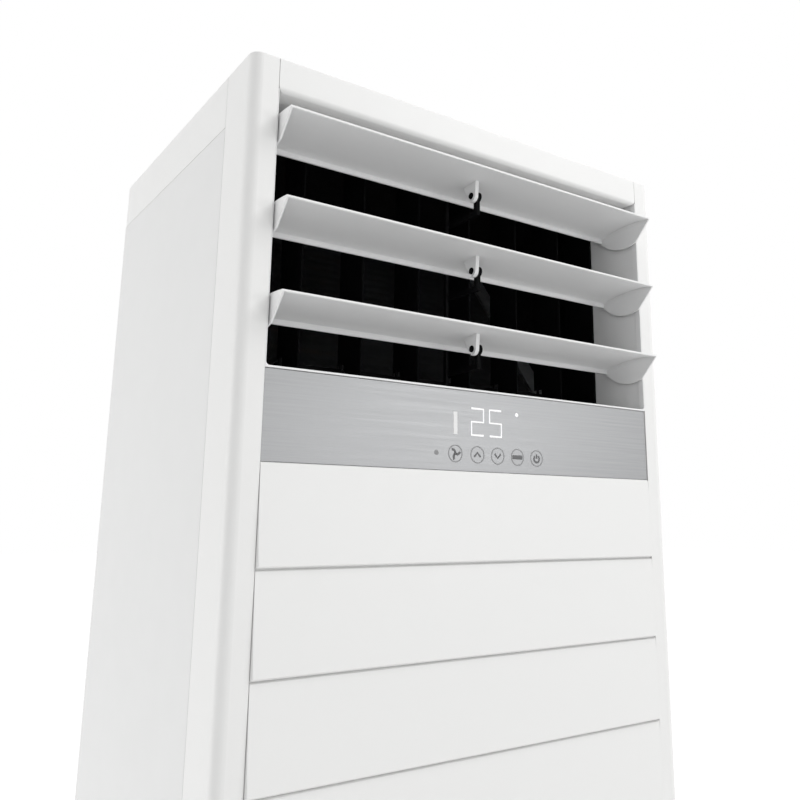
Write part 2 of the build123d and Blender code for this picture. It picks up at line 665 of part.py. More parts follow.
def outlet_duct():
    """Black duct that carries the upright fins."""
    y0, y1 = behind(SURROUND_D), behind(DUCT_END)
    out = DUCT_HALF + DUCT_CHEEK
    duct = block(-out, out, y0, y1, DUCT_SILL - DUCT_T, DUCT_ROOF + DUCT_T)
    duct += block(-WALL_OUT, WALL_OUT, y0, y0 + DUCT_CHEEK, SILL - SURROUND_T, ROOF + SURROUND_T)
    duct -= block(-DUCT_HALF, DUCT_HALF, y0 - 1, y1 + 1, DUCT_SILL, DUCT_ROOF)
    for index in range(FINS):
        duct -= rod_z(SILL - 10, ROOF + 10, fin_x(index), behind(FIN_BACK), FIN_PIN_R + PLAY)
    return duct


def vane_support():
    """Thin upright behind the vanes, with an arm and a pin for the hook of each vane."""
    y0 = behind(POST_BACK)
    y1 = y0 + POST_D
    post = block(-POST_HALF, POST_HALF, y0, y1, SILL, ROOF)
    for index in range(VANES):
        y, z = vane_pivot(index)
        low, high = z - ARM_DROP - ARM_HALF, z - ARM_DROP + ARM_HALF
        post += block(ARM_X0, ARM_X1, y - ARM_HALF, y + ARM_HALF, low, z)
        post += block(ARM_X0, ARM_X1, y - ARM_HALF, y1, low, high)
        post += block(-POST_HALF, ARM_X1, y0, y1, low, high)
        post += rod_x(ARM_X0, ARM_X1, y, z, HOOK_R - 1)
        post += rod_x(-HOOK_W / 2 - 1, ARM_X1, y, z, HOOK_PIN_R)
    return post


def web_arc(rise):
    """Arc of a vane's web from its nose to its tail, above the pivot."""
    return ThreePointArc((NOSE_Y, NOSE_Z + rise), (0, WEB_RISE + rise), (TAIL_Y, TAIL_Z + rise))


def vane_web():
    """Section of the blade: a thin arched web with a lip that hangs from its tail."""
    upper = web_arc(WEB_T / 2)
    lip_y = TAIL_Y - LIP_T
    foot = TAIL_Z - WEB_T / 2
    lip = Polyline(upper @ 1, (TAIL_Y, LIP_Z), (lip_y, LIP_Z), (lip_y, foot))
    lower = ThreePointArc((lip_y, foot), (0, WEB_RISE - WEB_T / 2), (NOSE_Y, NOSE_Z - WEB_T / 2))
    return make_face([upper, *lip.edges(), lower, Line(lower @ 1, upper @ 0)])


def vane_cheek():
    """Half-moon section of the end plates."""
    upper = web_arc(WEB_T / 2)
    tail = Line(upper @ 1, (TAIL_Y, LIP_Z))
    brow_y, brow_z = -TAIL_Y / 2 - 4, 0.7 * CHEEK_LOW
    belly = ThreePointArc((TAIL_Y, LIP_Z), (1.5, CHEEK_LOW), (brow_y, brow_z))
    nose = (NOSE_Y, NOSE_Z - WEB_T / 2)
    return make_face([upper, tail, belly, Line((brow_y, brow_z), nose), Line(nose, upper @ 0)])


def vane_hook():
    """Flat hook under the middle of the web, open at the back, round the pin of the support."""
    half = HOOK_W / 2
    root = polygon((-HOOK_AHEAD, WEB_RISE), (-HOOK_R, 0), (HOOK_R, 0), (HOOK_AFTER, WEB_RISE))
    hook = across(root, -half, half) + rod_x(-half, half, 0, 0, HOOK_R)
    middle = web_arc(0)
    skirt = Polyline(middle @ 1, (TAIL_Y, -2 * HOOK_R), (NOSE_Y, -2 * HOOK_R), middle @ 0)
    hook &= across(make_face([middle, *skirt.edges()]), -half, half)
    hook -= rod_x(-half - 1, half + 1, 0, 0, HOOK_PIN_R + PLAY)
    mouth = block(-half - 1, half + 1, 0, HOOK_R + 2, -HOOK_MOUTH / 2, HOOK_MOUTH / 2)
    return hook - Rot(HOOK_MOUTH_TURN, 0, 0) * mouth


def vane(index):
    """Long curved blade with half-moon cheeks, end pins and a hook in the middle."""
    blade = across(vane_web(), -VANE_END, VANE_END) + vane_hook()
    blade += rod_x(-VANE_END, VANE_END, NOSE_Y + NOSE_R, NOSE_Z, NOSE_R)
    blade += across(vane_cheek(), -VANE_END, -VANE_END + CHEEK_T)
    blade += across(vane_cheek(), VANE_END - CHEEK_T, VANE_END)
    left_pin = WALL_OUT + (MOTOR_PIN if index == VANES // 2 else PIN_OVER)
    right_pin = WALL_OUT + GAP + PIN_OVER + CRANK_T
    blade += rod_x(-left_pin, -VANE_END, 0, 0, VANE_PIN_R)
    blade += rod_x(VANE_END, right_pin, 0, 0, VANE_PIN_R)
    y, z = vane_pivot(index)
    return Pos(0, y, z) * blade


def crank_end(index):
    y, z = vane_pivot(index)
    angle = math.radians(CRANK_ANGLE)
    return y + CRANK_R * math.cos(angle), z + CRANK_R * math.sin(angle)


def vane_crank(index):
    """Crank on the right pin of a vane, outside the surround."""
    y, z = vane_pivot(index)
    end_y, end_z = crank_end(index)
    x0 = WALL_OUT + GAP
    x1 = x0 + PIN_OVER + CRANK_T
    crank = rod_x(x0, x1, y, z, CRANK_HUB_R)
    crank += rod_x(x1 - CRANK_T, x1, end_y, end_z, 2 * CRANK_PIN_R)
    arm = Pos(x1 - CRANK_T, y, z) * Rot(CRANK_ANGLE, 0, 0) * Box(
        CRANK_T, CRANK_R, 4 * CRANK_PIN_R, align=(Align.MIN, Align.MIN, Align.CENTER)
    )
    crank += arm
    crank += rod_x(x1 - 1, x1 + LINK_T + 2, end_y, end_z, CRANK_PIN_R)
    return crank - rod_x(x0 - 1, x1 + 1, y, z, VANE_PIN_R + PRESS_PLAY)


def vane_link_bar():
    x0 = WALL_OUT + GAP + PIN_OVER + CRANK_T + REST_GAP
    y, top = crank_end(0)
    foot = crank_end(VANES - 1)[1]
    bar = block(x0, x0 + LINK_T, y - LINK_W / 2, y + LINK_W / 2, foot, top)
    for z in (foot, top):
        bar += rod_x(x0, x0 + LINK_T, y, z, LINK_W / 2)
    for index in range(VANES):
        bar -= rod_x(x0 - 1, x0 + LINK_T + 1, *crank_end(index), CRANK_PIN_R + PLAY)
    return bar


def vane_motor():
    """Geared motor on the left wall of the surround, at the middle vane."""
    y, z = vane_pivot(VANES // 2)
    x1 = -WALL_OUT
    body = rod_x(x1 - MOTOR_T, x1, y, z, MOTOR_R)
    body += block(x1 - 1.5, x1, y - 5, y + 5, z - MOTOR_R - MOTOR_EAR, z + MOTOR_R + MOTOR_EAR)
    body += block(x1 - MOTOR_T, x1 - 3, y + MOTOR_R - 4, y + MOTOR_R + 3, z - 7, z + 7)
    return body - rod_x(x1 - 8, x1 + 1, y, z, VANE_PIN_R + PLAY)


def fin(index):
    """Upright blade that turns on pins at its head and foot, notched for the link bar."""
    x, y = fin_x(index), behind(FIN_BACK)
    section = polygon(
        (x - FIN_T / 2, y - FIN_FRONT + 3), (x - 0.6, y - FIN_FRONT), (x + 0.6, y - FIN_FRONT),
        (x + FIN_T / 2, y - FIN_FRONT + 3), (x + FIN_T / 2, y + FIN_REAR - 3),
        (x + 0.6, y + FIN_REAR), (x - 0.6, y + FIN_REAR), (x - FIN_T / 2, y + FIN_REAR - 3),
    )
    blade = upright(section, FIN_Z0, FIN_Z1)
    notch_z0 = FIN_Z0 + FIN_LINK_Z - FIN_NOTCH_OVER
    notch_z1 = FIN_Z0 + FIN_LINK_Z + FIN_LINK_T + FIN_NOTCH_OVER
    notch_y = y + FIN_LINK_R - FIN_LINK_HALF - 4
    blade -= block(x - 5, x + 5, notch_y, y + FIN_REAR + 1, notch_z0, notch_z1)
    blade += rod_z(notch_z0 - 4, notch_z1 + 4, x, y + FIN_LINK_R, FIN_LINK_PIN_R)
    for z0, z1 in ((FIN_Z0 - 1, FIN_Z0 + 8), (FIN_Z1 - 8, FIN_Z1 + 1)):
        blade += rod_z(z0, z1, x, y, FIN_PIN_R + 1.2)
    foot = DUCT_SILL - DUCT_T - (5.0 if index == FIN_MOTOR_AT else 1.0)
    blade += rod_z(foot, FIN_Z0, x, y, FIN_PIN_R)
    blade += rod_z(FIN_Z1, DUCT_ROOF + DUCT_T + 1, x, y, FIN_PIN_R)
    return blade


def fin_link_bar():
    y = behind(FIN_BACK + FIN_LINK_R)
    z0 = FIN_Z0 + FIN_LINK_Z
    reach = fin_x(FINS - 1) + FIN_LINK_HALF
    bar = block(-reach, reach, y - FIN_LINK_HALF, y + FIN_LINK_HALF - 1, z0, z0 + FIN_LINK_T)
    for index in range(FINS):
        x = fin_x(index)
        bar -= rod_z(z0 - 1, z0 + FIN_LINK_T + 1, x, y, FIN_LINK_PIN_R + PLAY)
        bar -= block(x - 1.3, x + 1.3, y, y + FIN_LINK_HALF + 1, z0 - 1, z0 + FIN_LINK_T + 1)
    return bar


def fin_motor():
    """Geared motor under the duct, on the foot pin of one fin."""
    x, y = fin_x(FIN_MOTOR_AT), behind(FIN_BACK)
    z1 = DUCT_SILL - DUCT_T
    body = rod_z(z1 - MOTOR_T, z1, x, y, MOTOR_R)
    body += block(x - MOTOR_R - MOTOR_EAR, x + MOTOR_R + MOTOR_EAR, y - 5, y + 5, z1 - 1.5, z1)
    body += block(x - 7, x + 7, y - MOTOR_R - 3, y - MOTOR_R + 4, z1 - MOTOR_T, z1 - 3)
    return body - rod_z(z1 - 6, z1 + 1, x, y, FIN_PIN_R + PLAY)


# --- heat exchanger ---

ON_SLAB = Pos(0, behind(SLAB_BACK), SLAB_FOOT) * Rot(-SLAB_TILT, 0, 0)


def tube_rise(row):
    """Height of a row of tubes above the foot of the slab, along the slab."""
    return SLAB_L / TUBE_ROWS * (row + 0.5)


def tube_rods(x0, x1, radius):
    return [
        rod_x(x0, x1, column, tube_rise(row), radius)
        for column in TUBE_COLUMNS
        for row in range(TUBE_ROWS)
    ]


def evaporator_fins():
    """Fin pack: a solid core with thin upright leaves on its two faces."""
    points = []
    count = int(2 * SLAB_HALF // COMB_PITCH)
    start = -count * COMB_PITCH / 2
    for tooth in range(count):
        x = start + tooth * COMB_PITCH
        points += [(x, 0), (x + COMB_PITCH - COMB_GAP, 0)]
        points += [(x + COMB_PITCH - COMB_GAP, COMB_D), (x + COMB_PITCH, COMB_D)]
    back = [(x, SLAB_T - y) for x, y in reversed(points)]
    pack = upright(polygon(*points, *back), 0, SLAB_L)
    return ON_SLAB * (pack - tube_rods(-SLAB_HALF - 1, SLAB_HALF + 1, TUBE_R + PLAY))


def evaporator_end_plates():
    """Two plates that hold the tubes, with flanges that close the front beside the pack."""
    x0, x1 = SLAB_HALF, SLAB_HALF + PLATE
    foot, head = -PLATE_OVER, SLAB_L + PLATE_OVER
    plate = block(x0, x1, -PLATE_OVER, SLAB_T + PLATE_OVER, foot, head)
    plate -= tube_rods(x0 - 1, x1 + 1, TUBE_R + TUBE_PLAY)
    plate += block(x0, x0 + FLANGE, -PLATE_OVER, PLATE - PLATE_OVER, foot, head)
    return [ON_SLAB * plate, ON_SLAB * mirror(plate, Plane.YZ)]


def evaporator_coil():
    """One tube that runs up the front column and down the rear one, with bends at both ends."""
    end = SLAB_HALF + TUBE_OUT
    bend = SLAB_L / TUBE_ROWS / 2
    near, far = TUBE_COLUMNS
    edges = []
    side = 1
    for column, rows in ((near, range(TUBE_ROWS)), (far, range(TUBE_ROWS - 1, -1, -1))):
        rows = list(rows)
        for place, row in enumerate(rows):
            z = tube_rise(row)
            a, b = (side * end, column, z), (-side * end, column, z)
            if place == 0 and column == near:
                a = (end + TUBE_OUT, column, z)
            if place == TUBE_ROWS - 1 and column == far:
                b = (end + TUBE_OUT, column, z)
            edges.append(Line(a, b))
            side = -side
            if place < TUBE_ROWS - 1:
                z_next = tube_rise(rows[place + 1])
                middle = (side * (end + bend), column, (z + z_next) / 2)
                edges.append(ThreePointArc(b, middle, (b[0], column, z_next)))
            elif column == near:
                half = (far - near) / 2
                edges.append(ThreePointArc(b, (side * (end + half), near + half, z), (b[0], far, z)))
    start = Plane(origin=edges[0] @ 0, z_dir=edges[0] % 0)
    ring = Circle(TUBE_R) - Circle(TUBE_R - PIPE_WALL)
    return ON_SLAB * sweep(start * ring, path=Wire(edges))


def coil_end(column):
    """Where the coil comes out on the right, as a point of the whole part."""
    place = ON_SLAB * Pos(SLAB_HALF + 2 * TUBE_OUT, column, tube_rise(0))
    return place.position


def piped(points, bend, radius, wall):
    path = FilletPolyline(*points, radius=bend)
    start = Plane(origin=path @ 0, z_dir=path % 0)
    return sweep(start * (Circle(radius) - Circle(radius - wall)), path=path)


def refrigerant_pipes():
    """Liquid and gas lines from the coil down to the flare nuts."""
    liquid, gas = (coil_end(column) for column in TUBE_COLUMNS)
    x = PIPE_X
    liquid_line = piped(
        [liquid, (x, liquid.Y, liquid.Z), (x, liquid.Y, PIPE_FOOT)], 9.0, LIQUID_R, PIPE_WALL
    )
    gas_back = behind(GAS_BACK)
    gas_points = [gas, (x, gas.Y, gas.Z), (x, gas_back, gas.Z - 80), (x, gas_back, PIPE_FOOT)]
    gas_line = piped(gas_points, 8.0, GAS_R, PIPE_WALL)
    return [liquid_line, gas_line]


def flare_nuts():
    liquid = coil_end(TUBE_COLUMNS[0])
    nuts = []
    for y, radius, size in ((liquid.Y, LIQUID_R, NUT_R - 4), (behind(GAS_BACK), GAS_R, NUT_R - 1)):
        hexagon = Pos(PIPE_X, y) * RegularPolygon(size, 6)
        nut = upright(hexagon, PIPE_FOOT - 4, PIPE_FOOT - 4 + NUT_L)
        nuts.append(nut - rod_z(PIPE_FOOT, PIPE_FOOT + NUT_L, PIPE_X, y, radius + PRESS_PLAY))
    return nuts


def drain_pan():
    y0, y1 = behind(PAN_FRONT), behind(PAN_REAR)
    pan = block(-PAN_HALF, PAN_HALF, y0, y1, PAN_FLOOR, PAN_TOP)
    inner = PAN_HALF - PAN_T
    pan -= block(-inner, inner, y0 + PAN_T, y1 - PAN_T, PAN_FLOOR + PAN_T, PAN_TOP + 1)
    slope = math.tan(math.radians(SLAB_TILT))
    seat_y0, seat_y1 = behind(SLAB_BACK + 6), behind(SLAB_BACK + 26)
    seat = polygon(
        (seat_y0, PAN_FLOOR + 1), (seat_y1, PAN_FLOOR + 1),
        (seat_y1, SLAB_FOOT - 26 * slope), (seat_y0, SLAB_FOOT - 6 * slope),
    )
    for x in (-SLAB_HALF + 20, -5, SLAB_HALF - 30):
        pan += across(seat, x, x + 10)
    return pan - rod_z(PAN_FLOOR - 1, PAN_FLOOR + PAN_T + 1, DRAIN_X, behind(DRAIN_BACK), DRAIN_BORE)


def drain_pipe():
    x, y = DRAIN_X, behind(DRAIN_BACK)
    pipe = rod_z(DRAIN_FOOT, PAN_FLOOR, x, y, DRAIN_R)
    return pipe - rod_z(DRAIN_FOOT - 1, PAN_FLOOR + 1, x, y, DRAIN_BORE)


def chamber_wall():
    """Sheet in front of the air path, from the deck up to the drain pan."""
    y0 = behind(WALL_BACK)
    half = PAN_HALF
    z0 = DECK_Z + WALL_T
    wall = block(-half, half, y0, y0 + WALL_T, z0, PAN_FLOOR)
    wall += block(-half, half, behind(PAN_FRONT), y0 + WALL_T, PAN_FLOOR - WALL_T, PAN_FLOOR)
    wall += block(-half, half, y0 - 18, y0 + WALL_T, z0, z0 + WALL_T)
    return wall


def insulation_liner():
    """Foam lining of the upper chamber: two sides and a roof."""
    y0, y1 = behind(DUCT_END + 2), REAR - 2 * SHEET - 1
    z0, z1 = DECK_Z + WALL_T, HEIGHT - CAP_WALL - 1.5
    liner = block(-LINER_X, LINER_X, y0, y1, z0, z1)
    inner = LINER_X - LINER_T
    return liner - block(-inner, inner, y0 - 1, y1 + 1, z0 - 1, z1 - LINER_T)


def partition_plate():
    half = INNER_HALF
    y0, y1 = behind(RIB_RUN + GAP), REAR - 2 * SHEET
    step = behind(FRAME_RUN + GAP + SHEET + PAN_GAP)
    plate = block(-half, half, step, y1, DECK_Z, DECK_Z + WALL_T)
    front_half = SIDE - RETURN / 2 - GAP
    plate += block(-front_half, front_half, y0, step, DECK_Z, DECK_Z + WALL_T)
    plate += block(-half + 12, half - 12, y0, y0 + WALL_T, DECK_Z - 14, DECK_Z)
    plate -= block(
        MOUTH_LEFT, MOUTH_RIGHT, behind(SCROLL_FRONT), behind(SCROLL_REAR), DECK_Z - 1, DECK_Z + WALL_T + 1
    )
    notch = (DRAIN_X - DRAIN_R - 2, PIPE_X + GAS_R + 2.5)
    plate -= block(*notch, behind(DUCT_END + 8), behind(GAS_BACK + 12), DECK_Z - 1, DECK_Z + WALL_T + 1)
    return plate


# --- blower ---

def scroll_air(grow):
    """Section of the air space in the scroll, in X and Z, grown outwards by a wall."""
    half = SCROLL_STEP / 2
    r1 = SCROLL_R + grow
    r2, r3 = r1 + SCROLL_STEP, r1 + 2 * SCROLL_STEP
    left, right = HUB_X - half, HUB_X + half
    low, high = HUB_Z - half, HUB_Z + half
    diagonal = math.sqrt(0.5)
    tongue = (left, low + r1)
    west, south, east = (left - r1, low), (right, low - r2), (right + r3, high)
    d1, d2, d3 = (radius * diagonal for radius in (r1, r2, r3))
    first = ThreePointArc(tongue, (left - d1, low + d1), west)
    second = ThreePointArc(west, (right - d2, low - d2), south)
    third = ThreePointArc(south, (right + d3, high - d3), east)
    mouth = MOUTH_LEFT - grow
    rest = Polyline(east, (right + r3, DECK_Z), (mouth, DECK_Z), tongue)
    return make_face([first, second, third, *rest.edges()])


def blower_scroll():
    y0, y1 = behind(SCROLL_FRONT), behind(SCROLL_REAR)
    inner, outer = scroll_air(0), scroll_air(SCROLL_T)
    scroll = lengthwise(outer, y0, y1)
    foot_z = HUB_Z - SCROLL_R + 3 * SCROLL_STEP
    for x in (HUB_X - 120, HUB_X + 140):
        scroll += block(x, x + 4, y0, y1, PLATE, foot_z)
        scroll += block(x - 22, x + 26, y0, y1, PLATE, PLATE + 3)
    scroll -= lengthwise(inner, y0 - 1, y1 - SCROLL_T)
    scroll -= rod_y(y1 - 2 * SCROLL_T, y1 + 1, HUB_X, HUB_Z, EYE_R)
    return scroll


def scroll_front_plate():
    """Front wall of the scroll with the rounded inlet ring."""
    y1 = behind(SCROLL_FRONT)
    y0 = y1 - SCROLL_T
    plate = lengthwise(scroll_air(SCROLL_T), y0, y1)
    plate -= rod_y(y0 - 1, y1 + 1, HUB_X, HUB_Z, INLET_R + 14)
    rim = INLET_R + 15
    outer_arc = ThreePointArc((rim, 0), (INLET_R + 4.4, 4.4), (INLET_R, 13))
    inner_arc = ThreePointArc((INLET_R + 2, 13), (INLET_R + 6.5, 6.6), (rim, SCROLL_T))
    lip, root = Line(outer_arc @ 1, inner_arc @ 0), Line(inner_arc @ 1, outer_arc @ 0)
    section = make_face([outer_arc, lip, inner_arc, root])
    ring = revolve(Plane(origin=(0, 0, 0), x_dir=(1, 0, 0), z_dir=(0, 0, 1)) * section, Axis.Y)
    return plate + Pos(HUB_X, y0, HUB_Z) * ring


def blower_wheel():
    y0, y1 = behind(WHEEL_FRONT), behind(WHEEL_REAR)
    lean = math.radians(BLADE_LEAN)
    mid_r = (BLADE_R0 + WHEEL_R) / 2

    def blade_edge(shift):
        return [
            (BLADE_R0, shift),
            (mid_r * math.cos(0.25 * lean), mid_r * math.sin(0.25 * lean) + shift),
            (WHEEL_R * math.cos(lean) - 1, WHEEL_R * math.sin(lean) + shift),
        ]

    lower, upper = blade_edge(0), blade_edge(BLADE_T)
    tip, heel = Line(lower[2], upper[2]), Line(upper[0], lower[0])
    section = make_face([ThreePointArc(*lower), tip, ThreePointArc(*reversed(upper)), heel])
    blade = extrude(section, y1 - y0 - 1)
    blades = [Rot(0, 0, 360 / BLADES * n) * blade for n in range(BLADES)]
    disc = Pos(0, 0, y1 - y0 - 2.5) * Cylinder(WHEEL_R, 2.5, align=STAND)
    ring = Cylinder(WHEEL_R, 4, align=STAND) - Cylinder(WHEEL_R - 12, 4, align=STAND)
    hub = Pos(0, 0, y1 - y0 - SHAFT_IN - 2) * Cylinder(22, SHAFT_IN + 2, align=STAND)
    wheel = disc + ring + hub + blades
    wheel -= Cylinder(SHAFT_R + PRESS_PLAY, 3 * (y1 - y0))
    return Pos(HUB_X, y0, HUB_Z) * Rot(-90, 0, 0) * wheel


def motor_shaft():
    y0, y1 = behind(WHEEL_REAR - SHAFT_IN), behind(SCROLL_REAR + POST_L + SHAFT_OUT)
    return rod_y(y0, y1, HUB_X, HUB_Z, SHAFT_R)


def motor_bracket():
    """Round plate on posts behind the scroll, for the blower motor."""
    y0 = behind(SCROLL_REAR)
    y1 = y0 + POST_L
    plate = rod_y(y1 - BRACKET_T, y1, HUB_X, HUB_Z, BRACKET_R)
    plate -= rod_y(y1 - BRACKET_T - 1, y1 + 1, HUB_X, HUB_Z, 24.0)
    for turn in (45, 135, 225, 315):
        x = HUB_X + (BRACKET_R - 10) * math.cos(math.radians(turn))
        z = HUB_Z + (BRACKET_R - 10) * math.sin(math.radians(turn))
        plate += rod_y(y0, y1 - 1, x, z, POST_R)
    for turn in (0, 90, 180, 270):
        x = HUB_X + 90 * math.cos(math.radians(turn))
        z = HUB_Z + 90 * math.sin(math.radians(turn))
        plate -= rod_y(y1 - BRACKET_T - 1, y1 + 1, x, z, 11.0)
    return plate


def blower_motor():
    y0 = behind(SCROLL_REAR + POST_L)
    body = rod_y(y0, y0 + BLOWER_MOTOR_L, HUB_X, HUB_Z, BLOWER_MOTOR_R)
    ends = body.edges().filter_by(GeomType.CIRCLE).sort_by(Axis.Y)
    body = fillet([ends[0], ends[-1]], 8)
    body += rod_y(y0 + 24, y0 + 56, HUB_X, HUB_Z, BLOWER_MOTOR_R + 3)
    bore = rod_y(y0 - 1, y0 + SHAFT_OUT + 2, HUB_X, HUB_Z, SHAFT_R + PLAY)
    return body - bore


# --- filters ---

def filter_guide():
    """Frame behind the door with a channel at the foot and head of the two filters."""
    y0, y1 = behind(RIB_RUN), behind(FILTER_BACK + FILTER_T + 3)
    half = STILE_EDGE + RIB
    z0, z1 = FILTER_Z0 - 8, FILTER_Z1 + FILTER_LIFT + 5
    inner = FILTER_X1 + 2
    guide = block(-half, half, y0, y1, z0, z1)
    guide -= block(-inner, inner, y0 - 1, y1 + 1, FILTER_Z0 + CHANNEL, FILTER_Z1 - CHANNEL)
    for sign in (-1, 1):
        x0, x1 = sorted((sign * (FILTER_X0 - 1), sign * (FILTER_X1 + 1)))
        slot_y = (behind(FILTER_BACK - 0.4), behind(FILTER_BACK + FILTER_T + 0.4))
        guide -= block(x0, x1, *slot_y, FILTER_Z0, FILTER_Z1 + FILTER_LIFT + 1)
    guide += block(-2, 2, behind(FILTER_BACK), behind(FILTER_BACK + FILTER_T), FILTER_Z0 - 1, FILTER_Z1 + 1)
    return guide


def air_filter(sign):
    """Framed net: rim, bars and a thin sheet that stands for the mesh."""
    x0, x1 = sorted((sign * FILTER_X0, sign * FILTER_X1))
    y0 = behind(FILTER_BACK)
    frame = block(x0, x1, y0, y0 + FILTER_T, FILTER_Z0, FILTER_Z1)
    rows, columns, bar = 8, 2, 4.0
    width = (x1 - x0 - 2 * bar) / columns
    height = (FILTER_Z1 - FILTER_Z0 - 4 * bar) / rows
    windows = []
    for row in range(rows):
        for column in range(columns):
            wx = x0 + bar + column * width + bar / 2
            wz = FILTER_Z0 + 2 * bar + row * height + bar / 2
            windows.append(block(wx, wx + width - bar, y0 - 1, y0 + 2.4, wz, wz + height - bar))
            windows.append(block(wx, wx + width - bar, y0 + 3.4, y0 + FILTER_T + 1, wz, wz + height - bar))
    return frame - windows


# --- control box and glands ---

def control_box():
    y0, y1 = behind(BOX_FRONT), behind(WALL_BACK)
    box = block(BOX_X0, BOX_X1, y0, y1, BOX_Z0, BOX_Z1)
    box -= block(BOX_X0 + BOX_T, BOX_X1 - BOX_T, y0 - 1, y1 - BOX_T, BOX_Z0 + BOX_T, BOX_Z1 - BOX_T)
    for x in (BOX_X0 + 20, BOX_X1 - BOARD_END - 20):
        for z in (BOX_Z0 + BOARD_RISE + 8, BOX_Z1 - 20):
            box += rod_y(y1 - BOX_POST, y1 - BOX_T + 0.2, x, z, 4.0)
    return box - rod_z(BOX_Z0 - 1, BOX_Z0 + 2, BOX_X0 + 40, (y0 + y1) / 2, 12.0)


def control_box_cover():
    y1 = behind(BOX_FRONT)
    cover = block(BOX_X0 - 2, BOX_X1 + 2, y1 - BOX_T, y1, BOX_Z0 - 2, BOX_Z1 + 2)
    for z0, z1 in ((BOX_Z0 - 2, BOX_Z0 - 2 + BOX_T), (BOX_Z1 + 2 - BOX_T, BOX_Z1 + 2)):
        cover += block(BOX_X0 - 2, BOX_X1 + 2, y1 - BOX_T, y1 + 10, z0, z1)
    return cover


def control_board():
    """Board on the posts of the box: transformer, relay, two capacitors and four terminals."""
    y1 = behind(WALL_BACK) - BOX_POST
    board = block(BOX_X0 + 12, BOX_X1 - BOARD_END, y1 - BOARD_T, y1, BOX_Z0 + BOARD_RISE, BOX_Z1 - 12)
    x, z = BOX_X0 + 24, BOX_Z0 + BOARD_RISE + 18
    board += block(x, x + COIL_W, y1 - 36, y1, z, z + 34)
    board += block(x + COIL_W + 18, x + COIL_W + 46, y1 - 18, y1, z + 4, z + 30)
    for shift, reach, radius in ((78, 32, 12.0), (108, 26, 9.0)):
        board += rod_y(y1 - reach, y1, x + COIL_W + shift, z + 20, radius)
    pitch = (BOX_W - BOARD_END) / 6
    for step in range(4):
        x0 = x + step * pitch
        board += block(x0, x0 + 24, y1 - 16, y1, z + 90, z + 106)
    return board


def terminal_block():
    y1 = behind(WALL_BACK) - BOX_T
    x0, z0 = BOX_X0 + 12, BOX_Z0 + 14
    strip = block(x0, x0 + 130, y1 - 22, y1, z0, z0 + 30)
    for place in range(6):
        x = x0 + 4 + place * 21
        strip -= block(x, x + 17, y1 - 23, y1 - 12, z0 + 6, z0 + 24)
        strip += rod_y(y1 - 17, y1 - 11, x + 8.5, z0 + 15, 3.6)
    return strip


def run_capacitor():
    y1 = behind(WALL_BACK) - BOX_T
    x, z0 = BOX_X1 - 45, BOX_Z0 + 60
    body = rod_z(z0, z0 + 92, x, y1 - 26, 22.0)
    clamp = block(x - 34, x + 34, y1 - 3, y1, z0 + 38, z0 + 50)
    body += block(x - 10, x - 6, y1 - 30, y1 - 22, z0 + 90, z0 + 102)
    body += block(x + 6, x + 10, y1 - 30, y1 - 22, z0 + 90, z0 + 102)
    return body + block(x - 22, x + 22, y1 - 26, y1 - 2, z0 + 38, z0 + 50) + clamp


def pipe_gland():
    """Rubber grommet for the pipes, in the rear panel."""
    y0, y1 = REAR - 2 * SHEET, REAR - SHEET
    ring = rod_y(y0 - 3, y0, GLAND_X, GLAND_Z, GLAND_R + 8)
    ring += rod_y(y0, y1, GLAND_X, GLAND_Z, GLAND_R + 3.95)
    ring += rod_y(y1, y1 + 3, GLAND_X, GLAND_Z, GLAND_R + 8)
    return ring - rod_y(y0 - 4, y1 + 4, GLAND_X, GLAND_Z, GLAND_R)


def cord_gland():
    """Screwed gland for the supply cord, in the rear panel."""
    y0, y1 = REAR - 2 * SHEET, REAR - SHEET
    plane = Plane(origin=(CORD_X, y1 + 5, CORD_Z), x_dir=(1, 0, 0), z_dir=(0, -1, 0))
    gland = extrude(plane * RegularPolygon(12.0, 6), 5)
    gland += rod_y(y1, y1 + 9, CORD_X, CORD_Z, 9.0)
    gland += rod_y(y0 - 9, y1, CORD_X, CORD_Z, CORD_R + 3.45)
    lock = Plane(origin=(CORD_X, y0, CORD_Z), x_dir=(1, 0, 0), z_dir=(0, -1, 0))
    gland += extrude(lock * RegularPolygon(12.0, 6), 4)
    return gland - rod_y(y0 - 10, y1 + 10, CORD_X, CORD_Z, CORD_R)


